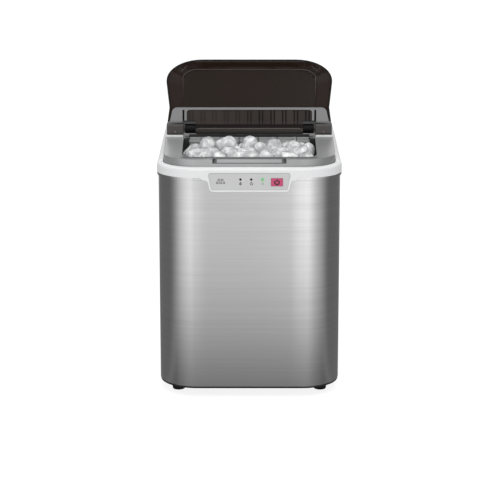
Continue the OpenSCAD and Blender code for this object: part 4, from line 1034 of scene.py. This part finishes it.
def floor_material():
    """White to the camera with a faint shadow, pale to soft light, the studio to metal."""
    mat, n = new_material("floor")
    x, y, z = n.xyz()
    pale = n.shader("ShaderNodeBsdfDiffuse", (0.80, 0.80, 0.80))
    seen = n.add("ShaderNodeAddShader")
    n.link(n.shader("ShaderNodeBsdfDiffuse", (0.22, 0.22, 0.22)), seen.inputs[0])
    n.link(n.shader("ShaderNodeEmission", WHITE, Strength=0.87), seen.inputs[1])
    side_x = WRAP_HI.x - FRONT_R
    from_x = beyond(n, x, -side_x, side_x)
    from_y = beyond(n, y, WRAP_LO.y + FRONT_R, WRAP_HI.y - FRONT_R)
    turn = n.math("ARCTAN2", from_x, n.times(from_y, -1.0))
    away = n.minus(n.distance(from_x, from_y), FRONT_R)
    mirror = n.shader("ShaderNodeEmission", WHITE, Strength=studio_level(n, turn, away))
    path = n.add("ShaderNodeLightPath")
    lit = n.mix_shaders(path.outputs["Is Glossy Ray"], pale, mirror)
    return finish_material(mat, n, n.mix_shaders(camera_sees(n, path), lit, seen.outputs[0]))


def stage_floor():
    """The ground that the machine stands on."""
    bm = bmesh.new()
    size = 9.0
    corners = ((-size, -size), (size, -size), (size, size), (-size, size))
    bm.faces.new([bm.verts.new((x, y, 0.0)) for x, y in corners])
    mesh = bpy.data.meshes.new("floor")
    bm.to_mesh(mesh)
    bm.free()
    mesh.materials.append(floor_material())
    obj = bpy.data.objects.new("floor", mesh)
    scene.collection.objects.link(obj)


def stage_world():
    """White to the camera and through clear plastic; a soft grey studio to the metal."""
    world = bpy.data.worlds.new("studio")
    scene.world = world
    world.use_nodes = True
    n = Nodes(world.node_tree)
    split = n.add("ShaderNodeSeparateXYZ")
    n.link(n.add("ShaderNodeTexCoord").outputs["Generated"], split.inputs[0])
    x, y, z = split.outputs
    turn = n.math("ARCTAN2", x, n.times(y, -1.0))
    metal_level = n.times(studio_level(n, turn), n.smooth(z, *HORIZON, 1.0, 0.5))
    metal_level = n.plus(metal_level, n.smooth(z, *OVERHEAD, 0.0, 0.5))
    dim = n.plus(n.smooth(x, *RIGHT_SIDE, 0.0, RIGHT_DIM), n.smooth(x, *LEFT_SIDE, LEFT_DIM, 0.0))
    path = n.add("ShaderNodeLightPath")
    matt_level = n.minus(MATT_LEVEL, dim)
    level = n.mix_values(path.outputs["Is Glossy Ray"], matt_level, metal_level)
    level = n.mix_values(camera_sees(n, path), level, 1.0)
    out = n.add("ShaderNodeOutputWorld")
    n.link(n.shader("ShaderNodeBackground", WHITE, Strength=level), out.inputs["Surface"])


def soft_box(name, at, aim, width, height, power):
    light = bpy.data.lights.new(name, "AREA")
    light.shape = "RECTANGLE"
    light.size = width
    light.size_y = height
    light.energy = power
    obj = bpy.data.objects.new(name, light)
    scene.collection.objects.link(obj)
    obj.location = at
    obj.rotation_euler = (Vector(aim) - Vector(at)).to_track_quat("-Z", "Y").to_euler()
    obj.visible_camera = False


# the photo's view: distance from the collar, height, tilt in degrees, lens in mm, lens shift
CAMERA_AWAY = 2.0
CAMERA_UP = 0.698
CAMERA_DOWN = 12.187
CAMERA_LENS = 114.97
CAMERA_SHIFT = (0.0013, -0.1)


def add_camera():
    data = bpy.data.cameras.new("camera")
    data.sensor_width = 36.0
    data.lens = CAMERA_LENS
    data.shift_x, data.shift_y = CAMERA_SHIFT
    data.clip_end = 50.0
    obj = bpy.data.objects.new("camera", data)
    obj.location = (0.0, COLLAR_LO.y - CAMERA_AWAY, CAMERA_UP)
    obj.rotation_euler = (math.radians(90 - CAMERA_DOWN), 0, 0)
    scene.collection.objects.link(obj)
    scene.camera = obj


# ---------------------------------------------------------------- the scene

power_symbol()
panel_marks()
bpy.context.view_layer.update()
pane_highlight_bead()
barrel_highlight_seam()
ear_skirts()
hinge_dots()
comb_tooth_highlights()
bullet_ice()

stage_floor()
stage_world()
soft_box("key_top", at=(0.0, -1.0, 1.9), aim=(0, -0.05, WRAP_HI.z), width=1.6, height=1.2,
         power=12.0)
soft_box("back_top", at=(0.0, 1.4, 1.6), aim=(0, 0.05, WRAP_HI.z), width=1.4, height=0.9,
         power=6.0)
add_camera()

bpy.context.view_layer.update()
